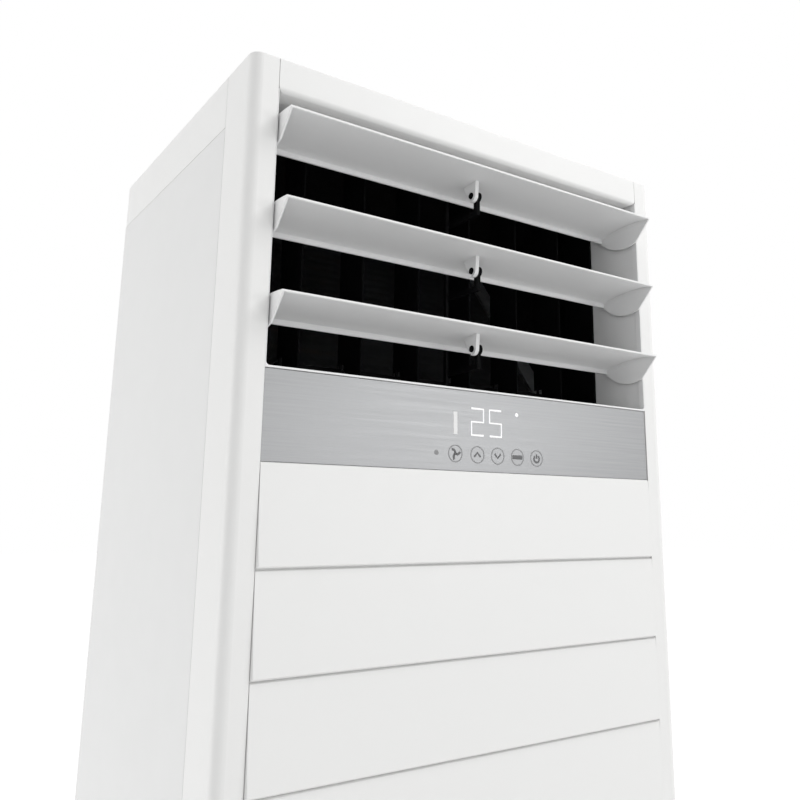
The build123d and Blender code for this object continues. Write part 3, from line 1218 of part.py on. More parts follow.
PARTS = {
    "front_frame": front_frame,
    "top_cap": top_cap,
    "left_side_panel": lambda: side_panel(-1),
    "right_side_panel": lambda: side_panel(1),
    "rear_panel": rear_panel,
    "casing_screws": casing_screws,
    "base_pan": base_pan,
    "header_panel": header_panel,
    "control_fascia": control_fascia,
    "touch_board": touch_board,
    "upper_front_panel": upper_front_panel,
    "kick_panel": kick_panel,
    "intake_door": intake_door,
    "door_catches": door_catches,
    "outlet_surround": outlet_surround,
    "outlet_duct": outlet_duct,
    "vane_support": vane_support,
    "vane_link_bar": vane_link_bar,
    "vane_motor": vane_motor,
    "fin_link_bar": fin_link_bar,
    "fin_motor": fin_motor,
    "evaporator_fins": evaporator_fins,
    "evaporator_end_plates": evaporator_end_plates,
    "evaporator_coil": evaporator_coil,
    "refrigerant_pipes": refrigerant_pipes,
    "flare_nuts": flare_nuts,
    "drain_pan": drain_pan,
    "drain_pipe": drain_pipe,
    "chamber_wall": chamber_wall,
    "insulation_liner": insulation_liner,
    "partition_plate": partition_plate,
    "blower_scroll": blower_scroll,
    "scroll_front_plate": scroll_front_plate,
    "blower_wheel": blower_wheel,
    "motor_shaft": motor_shaft,
    "motor_bracket": motor_bracket,
    "blower_motor": blower_motor,
    "filter_guide": filter_guide,
    "filter_left": lambda: air_filter(-1),
    "filter_right": lambda: air_filter(1),
    "control_box": control_box,
    "control_box_cover": control_box_cover,
    "control_board": control_board,
    "terminal_block": terminal_block,
    "run_capacitor": run_capacitor,
    "pipe_gland": pipe_gland,
    "cord_gland": cord_gland,
}
for number in range(VANES):
    PARTS[f"vane_{number + 1}"] = lambda n=number: vane(n)
    PARTS[f"vane_crank_{number + 1}"] = lambda n=number: vane_crank(n)
for number in range(FINS):
    PARTS[f"fin_{number + 1}"] = lambda n=number: fin(n)


def main():
    os.makedirs("parts", exist_ok=True)
    for name, make in PARTS.items():
        shape = make()
        if isinstance(shape, list):
            shape = Compound(children=[piece.solid() for piece in shape])
        export_step(shape, f"parts/{name}.step")


main()
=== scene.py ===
import json
import math

import bmesh
import bpy
from mathutils import Matrix, Vector


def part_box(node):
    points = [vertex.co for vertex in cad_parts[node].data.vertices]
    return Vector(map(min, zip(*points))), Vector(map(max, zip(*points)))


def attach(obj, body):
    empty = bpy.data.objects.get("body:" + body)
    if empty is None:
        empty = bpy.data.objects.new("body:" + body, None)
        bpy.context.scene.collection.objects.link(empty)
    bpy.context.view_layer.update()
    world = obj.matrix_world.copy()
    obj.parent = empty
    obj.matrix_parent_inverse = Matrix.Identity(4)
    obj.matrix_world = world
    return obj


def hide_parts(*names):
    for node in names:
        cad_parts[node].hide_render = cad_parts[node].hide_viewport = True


MM = 0.001
MIX_A, MIX_B, MIX_RESULT = 6, 7, 2       # the colour sockets of a mix node

# --- camera, fitted to the casing's edges in the photograph ---
CAMERA_AT = (-0.5771, -0.9436, 1.3836)
CAMERA_AZIMUTH = 35.747
CAMERA_RISE = 12.243
CAMERA_ROLL = 0.183
LENS_MM = 37.34
SENSOR_MM = 36.0
SHIFT_X, SHIFT_Y = -0.0566, -0.0710

# --- light ---
WORLD_LIGHT = 0.55
LAMPS = {                  # place, size in metres and power in watts
    "key": ((2.0, -2.0, 4.2), 2.0, 70.0),
    "side": ((-3.2, 1.4, 1.2), 2.6, 42.0),
    "fill": ((-1.4, -3.0, 1.0), 1.6, 6.0),
    "sheen": ((1.7, -2.8, 1.85), 0.8, 10.0),
}
LAMP_AIM = (0.0, 0.0, 1.4)
FLOOR_REACH = 40.0         # half the floor's width
FLOOR_GREY = 0.90
FLOOR_GLOW = (0.08, 0.50)  # near and far; lifts the lit floor to white for camera and gloss
FLOOR_NEAR, FLOOR_FAR = 0.9, 3.5         # distances from the object's middle for these two

# --- colours, as linear values ---
WHITE_MOULDING = (0.850, 0.850, 0.842)
WHITE_PAINT = (0.790, 0.792, 0.788)
# vane and outlet white: the moulding white made a little lighter, painted light that lifts their
# shaded undersides
VANE_WHITE = (0.872, 0.874, 0.874)
OUTLET_WHITE = (0.870, 0.872, 0.872)
BLACK = (0.0040, 0.0040, 0.0044)
SILVER = (0.285, 0.288, 0.293)
FOIL = (0.150, 0.154, 0.160)
ZINC = (0.480, 0.500, 0.510)
COPPER = (0.600, 0.290, 0.170)
BRASS = (0.640, 0.480, 0.200)
FOAM = (0.012, 0.012, 0.012)
GREY_PLASTIC = (0.100, 0.105, 0.110)
MOTOR_GREY = (0.200, 0.208, 0.215)
STEEL = (0.550, 0.550, 0.550)
BOARD_GREEN = (0.020, 0.130, 0.060)
NET = (0.045, 0.052, 0.064)
RUBBER = (0.018, 0.018, 0.018)
MAGNET_GREY = (0.500, 0.505, 0.510)
ICON_GREY = (0.120, 0.121, 0.124)
RING_GREY = (0.250, 0.252, 0.255)

# --- values that the finishes share ---
NOISE_BAND = (0.3, 0.7)    # where most of a noise's values lie
EDGE_R, SOFT_EDGE_R, FINE_EDGE_R = 0.5 * MM, 0.4 * MM, 0.3 * MM
TARNISH_SHARE = 0.62       # how bright tarnished metal is beside bright metal
TRACK_LIFT = 2.2           # how much lighter a board's tracks are than its laminate
LENS_GREY = (0.8, 0.8, 0.8)
LEAST_GLOW = 0.94          # the dimmest spot of a lit mark, as a share of the brightest

# --- marks on the control strip, from its top edge and the middle of the casing ---
OUTLET_H = 283.5 * MM      # from the foot of the header down to the top of the strip
MARK_PROUD = 0.12 * MM
DIGIT_W, DIGIT_H = 17.0 * MM, 29.5 * MM
DIGIT_STROKE = 2.3 * MM
DIGIT_DROP = 21.5 * MM
DIGIT_X = (-19.6 * MM, 6.0 * MM)
LEVEL_X, LEVEL_DROP, LEVEL_H, LEVEL_STROKE = -41.6 * MM, 27.0 * MM, 24.5 * MM, 5.8 * MM
LAMP_X, LAMP_DROP, LAMP_SIZE = 46.0 * MM, 24.0 * MM, 4.8 * MM
DIGIT_GLOW, LEVEL_GLOW = 0.34, 0.02
ICON_DROP = 72.4 * MM
ICON_R = 9.0 * MM
RING_STROKE = 1.3 * MM
ICON_STROKE = 2.4 * MM
CHEVRON_WING, CHEVRON_RISE = 4.4 * MM, 4.6 * MM
MODE_WING, MODE_STROKE = 7.4 * MM, 5.0 * MM
FAN_TURNS = (95.0, 215.0, 335.0)
FAN_HUB_R = 0.9 * MM
FAN_BLADE_W, FAN_BLADE_FROM, FAN_BLADE_STEP = 2.9 * MM, 1.2 * MM, 0.9 * MM
FAN_BLADE_STEPS, FAN_BLADE_BEND = 7, 7.0        # bend in degrees for each step outwards
POWER_RING_R, POWER_RING_DROP = 4.0 * MM, 0.6 * MM
POWER_RING_FROM, POWER_RING_TO = 128.0, 412.0
POWER_BAR_TOP, POWER_BAR_FOOT = 4.8 * MM, -0.2 * MM
FAN_X, UP_X, DOWN_X, MODE_X, POWER_X = (v * MM for v in (-41.6, -11.4, 17.4, 46.4, 75.6))
SENSOR_X, SENSOR_R = -66.5 * MM, 2.8 * MM

# --- heat exchanger and filters ---
SLAB_LENGTH, SLAB_DEPTH = 380.0 * MM, 40.0 * MM
LEAF_PITCH = 2.1 * MM
LEAF_THICK = 0.16 * MM
LEAF_WAVE = 0.35 * MM
LEAF_FOLDS = 46
RIM = 6.0 * MM
FILTER_BAR = 4.0 * MM
FILTER_ROWS, FILTER_COLUMNS = 8, 2
NET_PITCH = 2.0 * MM
THREAD = 0.35 * MM


# --- scene set-up ---

def add_camera():
    """Camera at the photograph's place, turned by its azimuth, rise and roll."""
    azimuth, rise, roll = (math.radians(v) for v in (CAMERA_AZIMUTH, CAMERA_RISE, CAMERA_ROLL))
    forward = Vector((
        math.sin(azimuth) * math.cos(rise), math.cos(azimuth) * math.cos(rise), math.sin(rise)
    ))
    level = forward.cross(Vector((0, 0, 1))).normalized()
    up = level.cross(forward)
    right = math.cos(roll) * level + math.sin(roll) * up
    above = -math.sin(roll) * level + math.cos(roll) * up
    data = bpy.data.cameras.new("camera")
    data.sensor_width = SENSOR_MM
    data.lens = LENS_MM
    data.shift_x, data.shift_y = SHIFT_X, SHIFT_Y
    data.clip_start = 0.01
    camera = bpy.data.objects.new("camera", data)
    turn = Matrix((right, above, -forward)).transposed().to_4x4()
    camera.matrix_world = Matrix.Translation(CAMERA_AT) @ turn
    bpy.context.scene.collection.objects.link(camera)
    bpy.context.scene.camera = camera


def add_world():
    """White to the camera, in gloss and through glass, and a plainer light on the object."""
    world = bpy.data.worlds.new("studio")
    bpy.context.scene.world = world
    world.use_nodes = True
    nodes, links = world.node_tree.nodes, world.node_tree.links
    nodes.clear()
    rays = nodes.new("ShaderNodeLightPath")
    seen = nodes.new("ShaderNodeMath")
    seen.operation = "ADD"
    links.new(rays.outputs["Is Camera Ray"], seen.inputs[0])
    links.new(rays.outputs["Is Glossy Ray"], seen.inputs[1])
    shown = nodes.new("ShaderNodeMath")
    shown.operation = "ADD"
    shown.use_clamp = True
    links.new(seen.outputs[0], shown.inputs[0])
    links.new(rays.outputs["Is Transmission Ray"], shown.inputs[1])
    strength = nodes.new("ShaderNodeMapRange")
    strength.inputs["To Min"].default_value = WORLD_LIGHT
    strength.inputs["To Max"].default_value = 1.0
    links.new(shown.outputs[0], strength.inputs["Value"])
    background = nodes.new("ShaderNodeBackground")
    background.inputs["Color"].default_value = (1, 1, 1, 1)
    links.new(strength.outputs["Result"], background.inputs["Strength"])
    output = nodes.new("ShaderNodeOutputWorld")
    links.new(background.outputs[0], output.inputs["Surface"])


def add_area_light(name, place, size, power):
    data = bpy.data.lights.new(name, "AREA")
    data.size = size
    data.energy = power
    lamp = bpy.data.objects.new(name, data)
    lamp.location = place
    aim = Vector(LAMP_AIM) - Vector(place)
    lamp.rotation_euler = aim.to_track_quat("-Z", "Y").to_euler()
    bpy.context.scene.collection.objects.link(lamp)


def add_floor():
    """Pale floor that the camera sees as white where it is lit, with the object's shadow kept."""
    signs = ((-1, -1), (1, -1), (1, 1), (-1, 1))
    corners = [(x * FLOOR_REACH, y * FLOOR_REACH, 0) for x, y in signs]
    mesh = bpy.data.meshes.new("floor")
    mesh.from_pydata(corners, [], [(0, 1, 2, 3)])
    floor = bpy.data.objects.new("floor", mesh)
    bpy.context.scene.collection.objects.link(floor)
    paint = Paint("floor")
    paint.set("Roughness", 1.0)
    paint.set("Specular IOR Level", 0.0)
    rays = paint.node("ShaderNodeLightPath")
    seen = paint.math("ADD", rays.outputs["Is Camera Ray"], rays.outputs["Is Glossy Ray"])
    colour = paint.mix(seen, (FLOOR_GREY,) * 3, (1.0,) * 3)
    paint.link(colour, "Base Color")
    paint.set("Emission Color", (1, 1, 1, 1))
    away = paint.node("ShaderNodeVectorMath", operation="LENGTH")
    paint.wire(paint.place, away.inputs[0])
    glow = paint.span(away.outputs["Value"], FLOOR_NEAR, FLOOR_FAR, *FLOOR_GLOW)
    paint.link(paint.math("MULTIPLY", seen, glow), "Emission Strength")
    floor.data.materials.append(paint.material)


# --- materials ---

class Paint:
    """A node material built up round one Principled shader."""

    def __init__(self, name, colour=None, roughness=0.5, metallic=0.0):
        self.material = bpy.data.materials.new(name)
        self.material.use_nodes = True
        self.tree = self.material.node_tree
        self.shader = self.tree.nodes["Principled BSDF"]
        self.set("Roughness", roughness)
        self.set("Metallic", metallic)
        if colour:
            self.set("Base Color", (*colour, 1))
        self.place = self.node("ShaderNodeTexCoord").outputs["Object"]

    def node(self, kind, **settings):
        made = self.tree.nodes.new(kind)
        for key, value in settings.items():
            setattr(made, key, value)
        return made

    def wire(self, source, socket):
        self.tree.links.new(source, socket)

    def set(self, socket, value):
        self.shader.inputs[socket].default_value = value

    def link(self, source, socket):
        self.wire(source, self.shader.inputs[socket])

    def math(self, operation, a, b):
        made = self.node("ShaderNodeMath", operation=operation)
        for socket, value in zip(made.inputs, (a, b)):
            if isinstance(value, (int, float)):
                socket.default_value = value
            else:
                self.wire(value, socket)
        return made.outputs[0]

    def stretched(self, x, y, z):
        made = self.node("ShaderNodeMapping")
        made.inputs["Scale"].default_value = (x, y, z)
        self.wire(self.place, made.inputs["Vector"])
        return made.outputs[0]

    def noise(self, scale, detail=2.0, vector=None):
        made = self.node("ShaderNodeTexNoise")
        made.inputs["Scale"].default_value = scale
        made.inputs["Detail"].default_value = detail
        self.wire(vector or self.place, made.inputs["Vector"])
        return made.outputs["Fac"]

    def cells(self, scale, vector=None, feature="F1"):
        made = self.node("ShaderNodeTexVoronoi", feature=feature)
        made.inputs["Scale"].default_value = scale
        self.wire(vector or self.place, made.inputs["Vector"])
        return made.outputs["Distance"]

    def span(self, value, a, b, low, high):
        """Maps a value from a...b to low...high."""
        made = self.node("ShaderNodeMapRange")
        for name, number in (("From Min", a), ("From Max", b), ("To Min", low), ("To Max", high)):
            made.inputs[name].default_value = number
        self.wire(value, made.inputs["Value"])
        return made.outputs["Result"]

    def mix(self, factor, low, high):
        made = self.node("ShaderNodeMix", data_type="RGBA")
        self.wire(factor, made.inputs["Factor"])
        for socket, value in ((made.inputs[MIX_A], low), (made.inputs[MIX_B], high)):
            if isinstance(value, tuple):
                socket.default_value = (*value, 1)
            else:
                self.wire(value, socket)
        return made.outputs[MIX_RESULT]

    def tinted(self, colour, factor, spread):
        """The colour, made up to a share lighter or darker by a factor of 0 to 1."""
        dark = tuple(c * (1 - spread) for c in colour)
        light = tuple(min(1.0, c * (1 + spread)) for c in colour)
        return self.mix(factor, dark, light)

    # painted shade: the colour is darkened in seams and corners by ambient occlusion
    def painted_seam_shade(self, colour, reach, strength):
        """Painted shade: darkens a colour a little in the seams and corners, where ambient
        occlusion finds them.
        """
        shade = self.node("ShaderNodeAmbientOcclusion", samples=4)
        shade.inputs["Distance"].default_value = reach
        open_share = self.span(shade.outputs["AO"], 0.35, 0.95, 1 - strength, 1.0)
        made = self.node("ShaderNodeMix", data_type="RGBA", blend_type="MULTIPLY")
        made.inputs["Factor"].default_value = 1.0
        self.wire(colour, made.inputs[MIX_A])
        self.wire(open_share, made.inputs[MIX_B])
        return made.outputs[MIX_RESULT]

    def bump(self, height, distance, strength=1.0, edge=None):
        made = self.node("ShaderNodeBump")
        made.inputs["Distance"].default_value = distance
        made.inputs["Strength"].default_value = strength
        self.wire(height, made.inputs["Height"])
        if edge:
            soft = self.node("ShaderNodeBevel", samples=4)
            soft.inputs["Radius"].default_value = edge
            self.wire(soft.outputs[0], made.inputs["Normal"])
        self.link(made.outputs[0], "Normal")


def moulded(name, colour, roughness=0.42, grain=0.05 * MM, edge=EDGE_R, spread=0.010):
    """Satin moulded plastic: fine spark grain, slight flow marks and painted shade in the seams."""
    paint = Paint(name, roughness=roughness)
    flow = paint.noise(3.5, 3.0, paint.stretched(1.0, 1.0, 0.45))
    mottle = paint.noise(260.0, 3.0)
    tone = paint.math("ADD", paint.math("MULTIPLY", flow, 0.7), paint.math("MULTIPLY", mottle, 0.3))
    # painted shade: the plastic's colour darkens in seams and corners
    paint.link(paint.painted_seam_shade(paint.tinted(colour, tone, spread), 7 * MM, 0.10), "Base Color")
    worn = paint.noise(45.0, 4.0)
    paint.link(paint.span(worn, *NOISE_BAND, roughness - 0.05, roughness + 0.06), "Roughness")
    paint.set("Specular IOR Level", 0.42)
    spark = paint.cells(1900.0)
    paint.bump(paint.math("ADD", spark, paint.noise(900.0, 2.0)), grain, 0.35, edge)
    return paint.material


def powder_coat(name, colour):
    """Baked coat on steel sheet: orange peel and faint cloudiness."""
    paint = Paint(name)
    cloud = paint.noise(6.0, 4.0)
    # painted shade: the coat's colour darkens in seams and corners
    paint.link(paint.painted_seam_shade(paint.tinted(colour, cloud, 0.014), 6 * MM, 0.10), "Base Color")
    paint.link(paint.span(paint.noise(30.0, 3.0), *NOISE_BAND, 0.44, 0.56), "Roughness")
    paint.set("Specular IOR Level", 0.40)
    pits = paint.noise(420.0, 2.0)
    peel = paint.math("ADD", pits, paint.math("MULTIPLY", paint.cells(700.0), 0.5))
    paint.bump(peel, 0.10 * MM, 0.30, EDGE_R)
    return paint.material


def brushed(name, colour):
    """Brushed sheet: hair lines along X in colour, gloss and relief."""
    paint = Paint(name, metallic=1.0)
    broad = paint.noise(1.0, 4.0, paint.stretched(5.0, 5.0, 420.0))
    fine = paint.noise(1.0, 3.0, paint.stretched(22.0, 22.0, 2600.0))
    hair = paint.math(
        "ADD", paint.math("MULTIPLY", broad, 0.55), paint.math("MULTIPLY", fine, 0.45)
    )
    sharp = paint.span(hair, 0.36, 0.64, 0.0, 1.0)
    paint.link(paint.tinted(colour, sharp, 0.10), "Base Color")
    paint.link(paint.span(sharp, 0.0, 1.0, 0.34, 0.46), "Roughness")
    paint.set("Anisotropic", 0.55)
    turn = paint.node("ShaderNodeTangent", direction_type="RADIAL", axis="Z")
    paint.link(turn.outputs[0], "Tangent")
    paint.bump(sharp, 0.02 * MM, 0.35, FINE_EDGE_R)
    return paint.material


def dull_black(name, colour, gloss=0.04):
    """Black moulding inside the outlet, with almost no sheen."""
    paint = Paint(name, roughness=0.6)
    paint.link(paint.tinted(colour, paint.noise(60.0, 4.0), 0.30), "Base Color")
    paint.link(paint.span(paint.noise(120.0, 3.0), *NOISE_BAND, 0.52, 0.68), "Roughness")
    paint.set("Specular IOR Level", gloss)
    paint.bump(paint.cells(1500.0), 0.06 * MM, 0.4)
    return paint.material


def sheet_metal(name, colour, metallic, spangle, roughness):
    """Bare or galvanised metal with crystal patches, a few stains and painted shade in the seams.
    """
    paint = Paint(name, metallic=metallic)
    patches = paint.node("ShaderNodeTexVoronoi", feature="F1")
    patches.inputs["Scale"].default_value = spangle
    paint.wire(paint.place, patches.inputs["Vector"])
    shade = paint.node("ShaderNodeSeparateColor")
    paint.wire(patches.outputs["Color"], shade.inputs[0])
    tone = paint.math("ADD", paint.math("MULTIPLY", shade.outputs[0], 0.5),
                      paint.math("MULTIPLY", paint.noise(25.0, 5.0), 0.5))
    # painted shade: the metal's colour darkens in seams and corners
    paint.link(paint.painted_seam_shade(paint.tinted(colour, tone, 0.16), 8 * MM, 0.25), "Base Color")
    paint.link(paint.span(tone, 0.2, 0.8, roughness - 0.08, roughness + 0.10), "Roughness")
    paint.bump(paint.noise(350.0, 3.0), 0.03 * MM, 0.4, FINE_EDGE_R)
    return paint.material


def drawn_metal(name, colour, roughness=0.3):
    """Drawn tube or turned metal with tarnish."""
    paint = Paint(name, metallic=1.0)
    tarnish = paint.noise(28.0, 6.0)
    dull = tuple(c * TARNISH_SHARE for c in colour)
    paint.link(paint.mix(paint.span(tarnish, 0.42, 0.68, 0.0, 1.0), colour, dull), "Base Color")
    paint.link(paint.span(tarnish, 0.35, 0.7, roughness - 0.08, roughness + 0.2), "Roughness")
    paint.bump(paint.noise(600.0, 2.0), 0.02 * MM, 0.4, FINE_EDGE_R)
    return paint.material


def open_foam(name, colour):
    """Foam with open pores."""
    paint = Paint(name, roughness=0.95)
    pores = paint.cells(420.0)
    paint.link(paint.tinted(colour, pores, 0.45), "Base Color")
    paint.set("Specular IOR Level", 0.1)
    paint.bump(pores, 0.8 * MM, 0.8)
    return paint.material


def soft_rubber(name, colour):
    """Matt rubber with a dusty bloom."""
    paint = Paint(name, roughness=0.75)
    bloom = paint.noise(90.0, 5.0)
    paint.link(paint.tinted(colour, bloom, 0.35), "Base Color")
    paint.link(paint.span(bloom, *NOISE_BAND, 0.68, 0.85), "Roughness")
    paint.bump(paint.noise(800.0, 3.0), 0.08 * MM, 0.5, SOFT_EDGE_R)
    return paint.material


def circuit_board(name, colour):
    """Green laminate with tracks under the lacquer."""
    paint = Paint(name, roughness=0.35)
    tracks = paint.node("ShaderNodeTexBrick")
    tracks.inputs["Scale"].default_value = 90.0
    tracks.inputs["Mortar Size"].default_value = 0.035
    paint.wire(paint.stretched(1.0, 0.2, 1.0), tracks.inputs["Vector"])
    lighter = tuple(min(1.0, c * TRACK_LIFT) for c in colour)
    paint.link(paint.mix(tracks.outputs["Fac"], colour, lighter), "Base Color")
    paint.set("Coat Weight", 0.5)
    paint.bump(tracks.outputs["Fac"], 0.04 * MM, 0.5)
    return paint.material


def lit(name, strength):
    """Lamp light that shines through the strip, slightly uneven."""
    paint = Paint(name, LENS_GREY)
    paint.set("Emission Color", (1, 1, 1, 1))
    glow = paint.span(paint.noise(350.0, 2.0), *NOISE_BAND, strength * LEAST_GLOW, strength)
    paint.link(glow, "Emission Strength")
    return paint.material


def printed(name, colour):
    """Screen print: slightly uneven ink with a matt face."""
    paint = Paint(name, roughness=0.55)
    ink = paint.noise(900.0, 3.0)
    paint.link(paint.tinted(colour, ink, 0.12), "Base Color")
    paint.bump(ink, 0.02 * MM, 0.4)
    return paint.material


def slot_finishes():
    """One finish for each material slot of the record."""
    return {
        "white_moulding": moulded("white moulding", WHITE_MOULDING),
        "white_paint": powder_coat("white powder coat", WHITE_PAINT),
        # vane and outlet plastics are lighter than the moulding: painted light for their shaded
        # undersides
        "vane_plastic": moulded("vane plastic", VANE_WHITE, roughness=0.52, grain=0.03 * MM),
        "outlet_white": moulded("outlet white", OUTLET_WHITE, roughness=0.46),
        "black_plastic": dull_black("black plastic", BLACK),
        "fascia_metal": brushed("brushed fascia", SILVER),
        "galvanised": sheet_metal("galvanised sheet", ZINC, 0.75, spangle=90.0, roughness=0.42),
        "fin_foil": sheet_metal("fin foil", FOIL, 0.5, spangle=30.0, roughness=0.5),
        "copper": drawn_metal("drawn copper", COPPER),
        "brass_nut": drawn_metal("turned brass", BRASS),
        "foam": open_foam("black foam", FOAM),
        "grey_plastic": moulded("grey plastic", GREY_PLASTIC, 0.5, 0.06 * MM, SOFT_EDGE_R, 0.06),
        "motor_cast": sheet_metal("cast motor", MOTOR_GREY, 0.35, spangle=400.0, roughness=0.5),
        "shaft_steel": drawn_metal("ground steel", STEEL, roughness=0.28),
        "board_green": circuit_board("board laminate", BOARD_GREEN),
        "filter_net": moulded("filter plastic", NET, 0.55, edge=FINE_EDGE_R, spread=0.10),
        "rubber_black": soft_rubber("soft rubber", RUBBER),
        "magnet_grey": moulded("magnet housing", MAGNET_GREY, roughness=0.5),
    }


def paint_nodes(finishes):
    """Gives each carried-over node the finish of its slot."""
    slot_of = {part["node"]: part["material_slot"] for part in frame["record"]["subparts"]}
    for name, node in NODES.items():
        finish = finishes[slot_of[name]]
        if not node.material_slots:
            node.data.materials.append(finish)
        for holder in node.material_slots:
            holder.material = finish


# --- pieces ---

def add_piece(name, mesh, body, finish):
    """Adds a mesh as a piece that rides a body, in one finish and one slot."""
    piece = bpy.data.objects.new(name, mesh)
    bpy.context.scene.collection.objects.link(piece)
    mesh.materials.append(finish)
    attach(piece, body)
    return piece


def stroked(name, strokes, face_y):
    """Flat raised strokes on an upright plane.

    Each stroke is a list of points (x, z), a width and whether it is closed.
    """
    data = bpy.data.curves.new(name, "CURVE")
    data.dimensions = "3D"
    data.bevel_depth = 1.0
    data.bevel_resolution = 3
    data.use_fill_caps = True
    for points, width, closed in strokes:
        spline = data.splines.new("POLY")
        spline.points.add(len(points) - 1)
        spline.use_cyclic_u = closed
        for knot, (x, z) in zip(spline.points, points):
            knot.co = (x, 0, z, 1)
            knot.radius = width / 2
    holder = bpy.data.objects.new(name, data)
    mesh = bpy.data.meshes.new_from_object(holder)
    bpy.data.objects.remove(holder)
    for vertex in mesh.vertices:
        vertex.co.y = face_y + max(-MARK_PROUD, min(MARK_PROUD, vertex.co.y))
    mesh.shade_smooth()
    return mesh


def circle_points(x, z, radius, start=0.0, end=360.0, count=40):
    """Points on an arc, angles in degrees, with both ends."""
    steps = [math.radians(start + (end - start) * i / count) for i in range(count + 1)]
    return [(x + radius * math.cos(a), z + radius * math.sin(a)) for a in steps]


def digit_two(x, top):
    right, middle, foot = x + DIGIT_W, top - DIGIT_H / 2, top - DIGIT_H
    return [(x, top), (right, top), (right, middle), (x, middle), (x, foot), (right, foot)]


def digit_five(x, top):
    right, middle, foot = x + DIGIT_W, top - DIGIT_H / 2, top - DIGIT_H
    return [(right, top), (x, top), (x, middle), (right, middle), (right, foot), (x, foot)]


def add_display(top, face_y):
    """Two plain digits, a level bar and a lamp that shine through the strip."""
    high = top - DIGIT_DROP
    digits = [
        (digit_two(DIGIT_X[0], high), DIGIT_STROKE, False),
        (digit_five(DIGIT_X[1], high), DIGIT_STROKE, False),
    ]
    level = top - LEVEL_DROP
    bar = [([(LEVEL_X, level), (LEVEL_X, level - LEVEL_H)], LEVEL_STROKE, False)]
    lamp_z = top - LAMP_DROP
    lamp = [(circle_points(LAMP_X, lamp_z, LAMP_SIZE / 4, count=16)[:-1], LAMP_SIZE / 2, True)]
    bright, dim = lit("display light", DIGIT_GLOW), lit("level light", LEVEL_GLOW)
    marks = (
        ("display_digits", digits, bright),
        ("display_level", bar, dim),
        ("display_lamp", lamp, bright),
    )
    for name, strokes, light in marks:
        add_piece(name, stroked(name, strokes, face_y), "cabinet", light)


def fan_strokes(x, z):
    """Three curved blades round a hub."""
    strokes = [(circle_points(x, z, FAN_HUB_R, count=12)[:-1], 2 * FAN_HUB_R, True)]
    for turn in FAN_TURNS:
        blade = []
        for step in range(FAN_BLADE_STEPS):
            reach = FAN_BLADE_FROM + step * FAN_BLADE_STEP
            angle = math.radians(turn + step * FAN_BLADE_BEND)
            blade.append((x + reach * math.cos(angle), z + reach * math.sin(angle)))
        strokes.append((blade, FAN_BLADE_W, False))
    return strokes


def chevron_strokes(x, z, rise):
    points = [(x - CHEVRON_WING, z - rise / 2), (x, z + rise / 2), (x + CHEVRON_WING, z - rise / 2)]
    return [(points, ICON_STROKE, False)]


def power_strokes(x, z):
    """Open ring with a bar through its gap."""
    ring = circle_points(x, z - POWER_RING_DROP, POWER_RING_R, POWER_RING_FROM, POWER_RING_TO, 24)
    bar = [(x, z + POWER_BAR_TOP), (x, z + POWER_BAR_FOOT)]
    return [(ring, ICON_STROKE, False), (bar, ICON_STROKE, False)]


def add_touch_marks(top, face_y):
    """Five ringed touch marks and a small sensor dot, printed on the strip."""
    z = top - ICON_DROP
    rings = []
    for x in (FAN_X, UP_X, DOWN_X, MODE_X, POWER_X):
        rings.append((circle_points(x, z, ICON_R)[:-1], RING_STROKE, True))
    rings.append((circle_points(SENSOR_X, z, SENSOR_R / 2, count=16)[:-1], SENSOR_R, True))
    signs = fan_strokes(FAN_X, z)
    signs += chevron_strokes(UP_X, z, CHEVRON_RISE)
    signs += chevron_strokes(DOWN_X, z, -CHEVRON_RISE)
    signs += [([(MODE_X - MODE_WING, z), (MODE_X + MODE_WING, z)], MODE_STROKE, False)]
    signs += power_strokes(POWER_X, z)
    ink, faint = printed("print dark", ICON_GREY), printed("print rings", RING_GREY)
    for name, strokes, tone in (("touch_rings", rings, faint), ("touch_signs", signs, ink)):
        add_piece(name, stroked(name, strokes, face_y), "cabinet", tone)


def add_fin_pack(finishes):
    """Stack of thin corrugated leaves, leaning back as the plain pack does."""
    low, high = (Vector(corner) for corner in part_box("evaporator_fins"))
    lean = math.asin((high.y - low.y) / math.hypot(SLAB_LENGTH, SLAB_DEPTH))
    lean -= math.atan2(SLAB_DEPTH, SLAB_LENGTH)
    origin = Vector((0, low.y, low.z + SLAB_DEPTH * math.sin(lean)))
    along = Vector((0, math.sin(lean), math.cos(lean)))
    deep = Vector((0, math.cos(lean), -math.sin(lean)))
    side = Vector((1, 0, 0))
    inset = LEAF_WAVE + LEAF_THICK
    count = int((high.x - low.x - 2 * inset) / LEAF_PITCH)
    mesh = bmesh.new()
    for leaf in range(count + 1):
        x = low.x + inset + leaf * LEAF_PITCH
        rings = []
        for fold in range(LEAF_FOLDS + 1):
            wave = LEAF_WAVE if fold % 2 else -LEAF_WAVE
            centre = origin + along * (SLAB_LENGTH * fold / LEAF_FOLDS) + side * (x + wave)
            half = side * (LEAF_THICK / 2)
            corners = (centre - half, centre + half, centre + half + deep * SLAB_DEPTH,
                       centre - half + deep * SLAB_DEPTH)
            rings.append([mesh.verts.new(c) for c in corners])
        for a, b in zip(rings, rings[1:]):
            for i in range(4):
                j = (i + 1) % 4
                mesh.faces.new((a[i], a[j], b[j], b[i]))
        mesh.faces.new(reversed(rings[0]))
        mesh.faces.new(rings[-1])
    bmesh.ops.recalc_face_normals(mesh, faces=mesh.faces)
    data = bpy.data.meshes.new("fin_leaves")
    mesh.to_mesh(data)
    mesh.free()
    pack = add_piece("fin_leaves", data, "cabinet", finishes["fin_foil"])
    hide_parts("evaporator_fins")


def add_prism(mesh, low, high):
    """A closed box between two corners, added to a bmesh."""
    made = bmesh.ops.create_cube(mesh, size=1.0)["verts"]
    size = high - low
    bmesh.ops.scale(mesh, vec=size, verts=made)
    bmesh.ops.translate(mesh, vec=(low + high) / 2, verts=made)


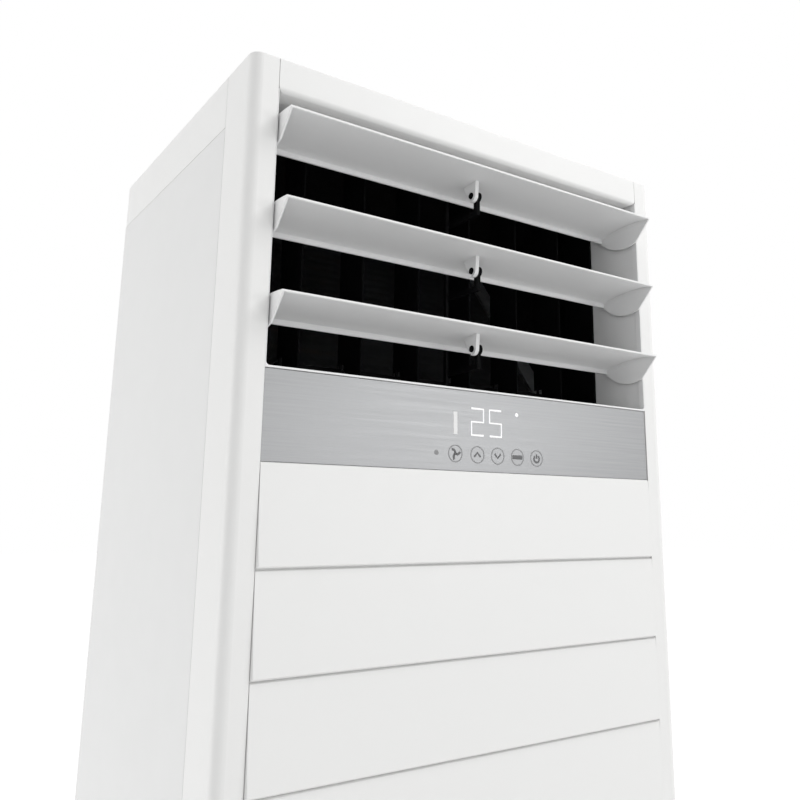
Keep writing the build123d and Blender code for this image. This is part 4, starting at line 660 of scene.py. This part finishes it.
def filter_frame(low, high):
    """Rim and bars of a filter as one holed plate; add_filter rounds its edges."""
    width = (high.x - low.x - 2 * RIM + FILTER_BAR) / FILTER_COLUMNS
    height = (high.z - low.z - 2 * RIM + FILTER_BAR) / FILTER_ROWS
    xs, zs = [low.x], [low.z]
    for column in range(FILTER_COLUMNS):
        x = low.x + RIM + column * width
        xs += [x, x + width - FILTER_BAR]
    for row in range(FILTER_ROWS):
        z = low.z + RIM + row * height
        zs += [z, z + height - FILTER_BAR]
    xs.append(high.x)
    zs.append(high.z)
    mesh = bmesh.new()
    grid = [[mesh.verts.new((x, low.y, z)) for z in zs] for x in xs]
    for i in range(len(xs) - 1):
        for j in range(len(zs) - 1):
            if i % 2 == 0 or j % 2 == 0:
                mesh.faces.new((grid[i][j], grid[i + 1][j], grid[i + 1][j + 1], grid[i][j + 1]))
    made = bmesh.ops.extrude_face_region(mesh, geom=mesh.faces[:])
    moved = [item for item in made["geom"] if isinstance(item, bmesh.types.BMVert)]
    bmesh.ops.translate(mesh, vec=(0, high.y - low.y, 0), verts=moved)
    bmesh.ops.recalc_face_normals(mesh, faces=mesh.faces)
    return mesh


def add_filter(side, finishes):
    """Framed net of fine crossing threads."""
    node = f"filter_{side}"
    low, high = (Vector(corner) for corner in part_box(node))
    frame_mesh = filter_frame(low, high)
    data = bpy.data.meshes.new(f"{node}_frame")
    frame_mesh.to_mesh(data)
    frame_mesh.free()
    rim = add_piece(f"{node}_frame", data, node, finishes["filter_net"])
    soft = rim.modifiers.new("edges", "BEVEL")
    soft.width = EDGE_R
    soft.segments = 2
    soft.limit_method = "ANGLE"
    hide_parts(node)
    mesh = bmesh.new()
    middle = (low.y + high.y) / 2
    x0, x1, z0, z1 = low.x + RIM / 2, high.x - RIM / 2, low.z + RIM / 2, high.z - RIM / 2
    for i in range(int((x1 - x0) / NET_PITCH) + 1):
        x = x0 + i * NET_PITCH
        add_prism(mesh, Vector((x, middle - THREAD, z0)), Vector((x + THREAD, middle, z1)))
    for i in range(int((z1 - z0) / NET_PITCH) + 1):
        z = z0 + i * NET_PITCH
        low_end = Vector((x0, middle - THREAD / 2, z))
        add_prism(mesh, low_end, Vector((x1, middle + THREAD / 2, z + THREAD)))
    data = bpy.data.meshes.new(f"{node}_net")
    mesh.to_mesh(data)
    mesh.free()
    add_piece(f"{node}_net", data, node, finishes["filter_net"])


# --- the dressed part ---

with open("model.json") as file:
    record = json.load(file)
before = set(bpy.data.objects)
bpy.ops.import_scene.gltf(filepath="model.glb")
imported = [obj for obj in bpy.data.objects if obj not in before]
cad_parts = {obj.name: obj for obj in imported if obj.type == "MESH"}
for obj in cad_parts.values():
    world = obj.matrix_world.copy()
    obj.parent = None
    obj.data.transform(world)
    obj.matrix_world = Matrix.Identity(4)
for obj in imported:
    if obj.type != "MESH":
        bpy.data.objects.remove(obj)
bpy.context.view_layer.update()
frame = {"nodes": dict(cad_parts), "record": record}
NODES = frame["nodes"]
add_camera()
add_world()
for lamp_name, lamp in LAMPS.items():
    add_area_light(lamp_name, *lamp)
add_floor()

FINISHES = slot_finishes()
paint_nodes(FINISHES)
STRIP_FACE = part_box("control_fascia")[0][1]
STRIP_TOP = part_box("header_panel")[0][2] - OUTLET_H
add_display(STRIP_TOP, STRIP_FACE)
add_touch_marks(STRIP_TOP, STRIP_FACE)
add_fin_pack(FINISHES)
for side_name in ("left", "right"):
    add_filter(side_name, FINISHES)

scene = bpy.context.scene
scene.view_settings.view_transform = "Standard"
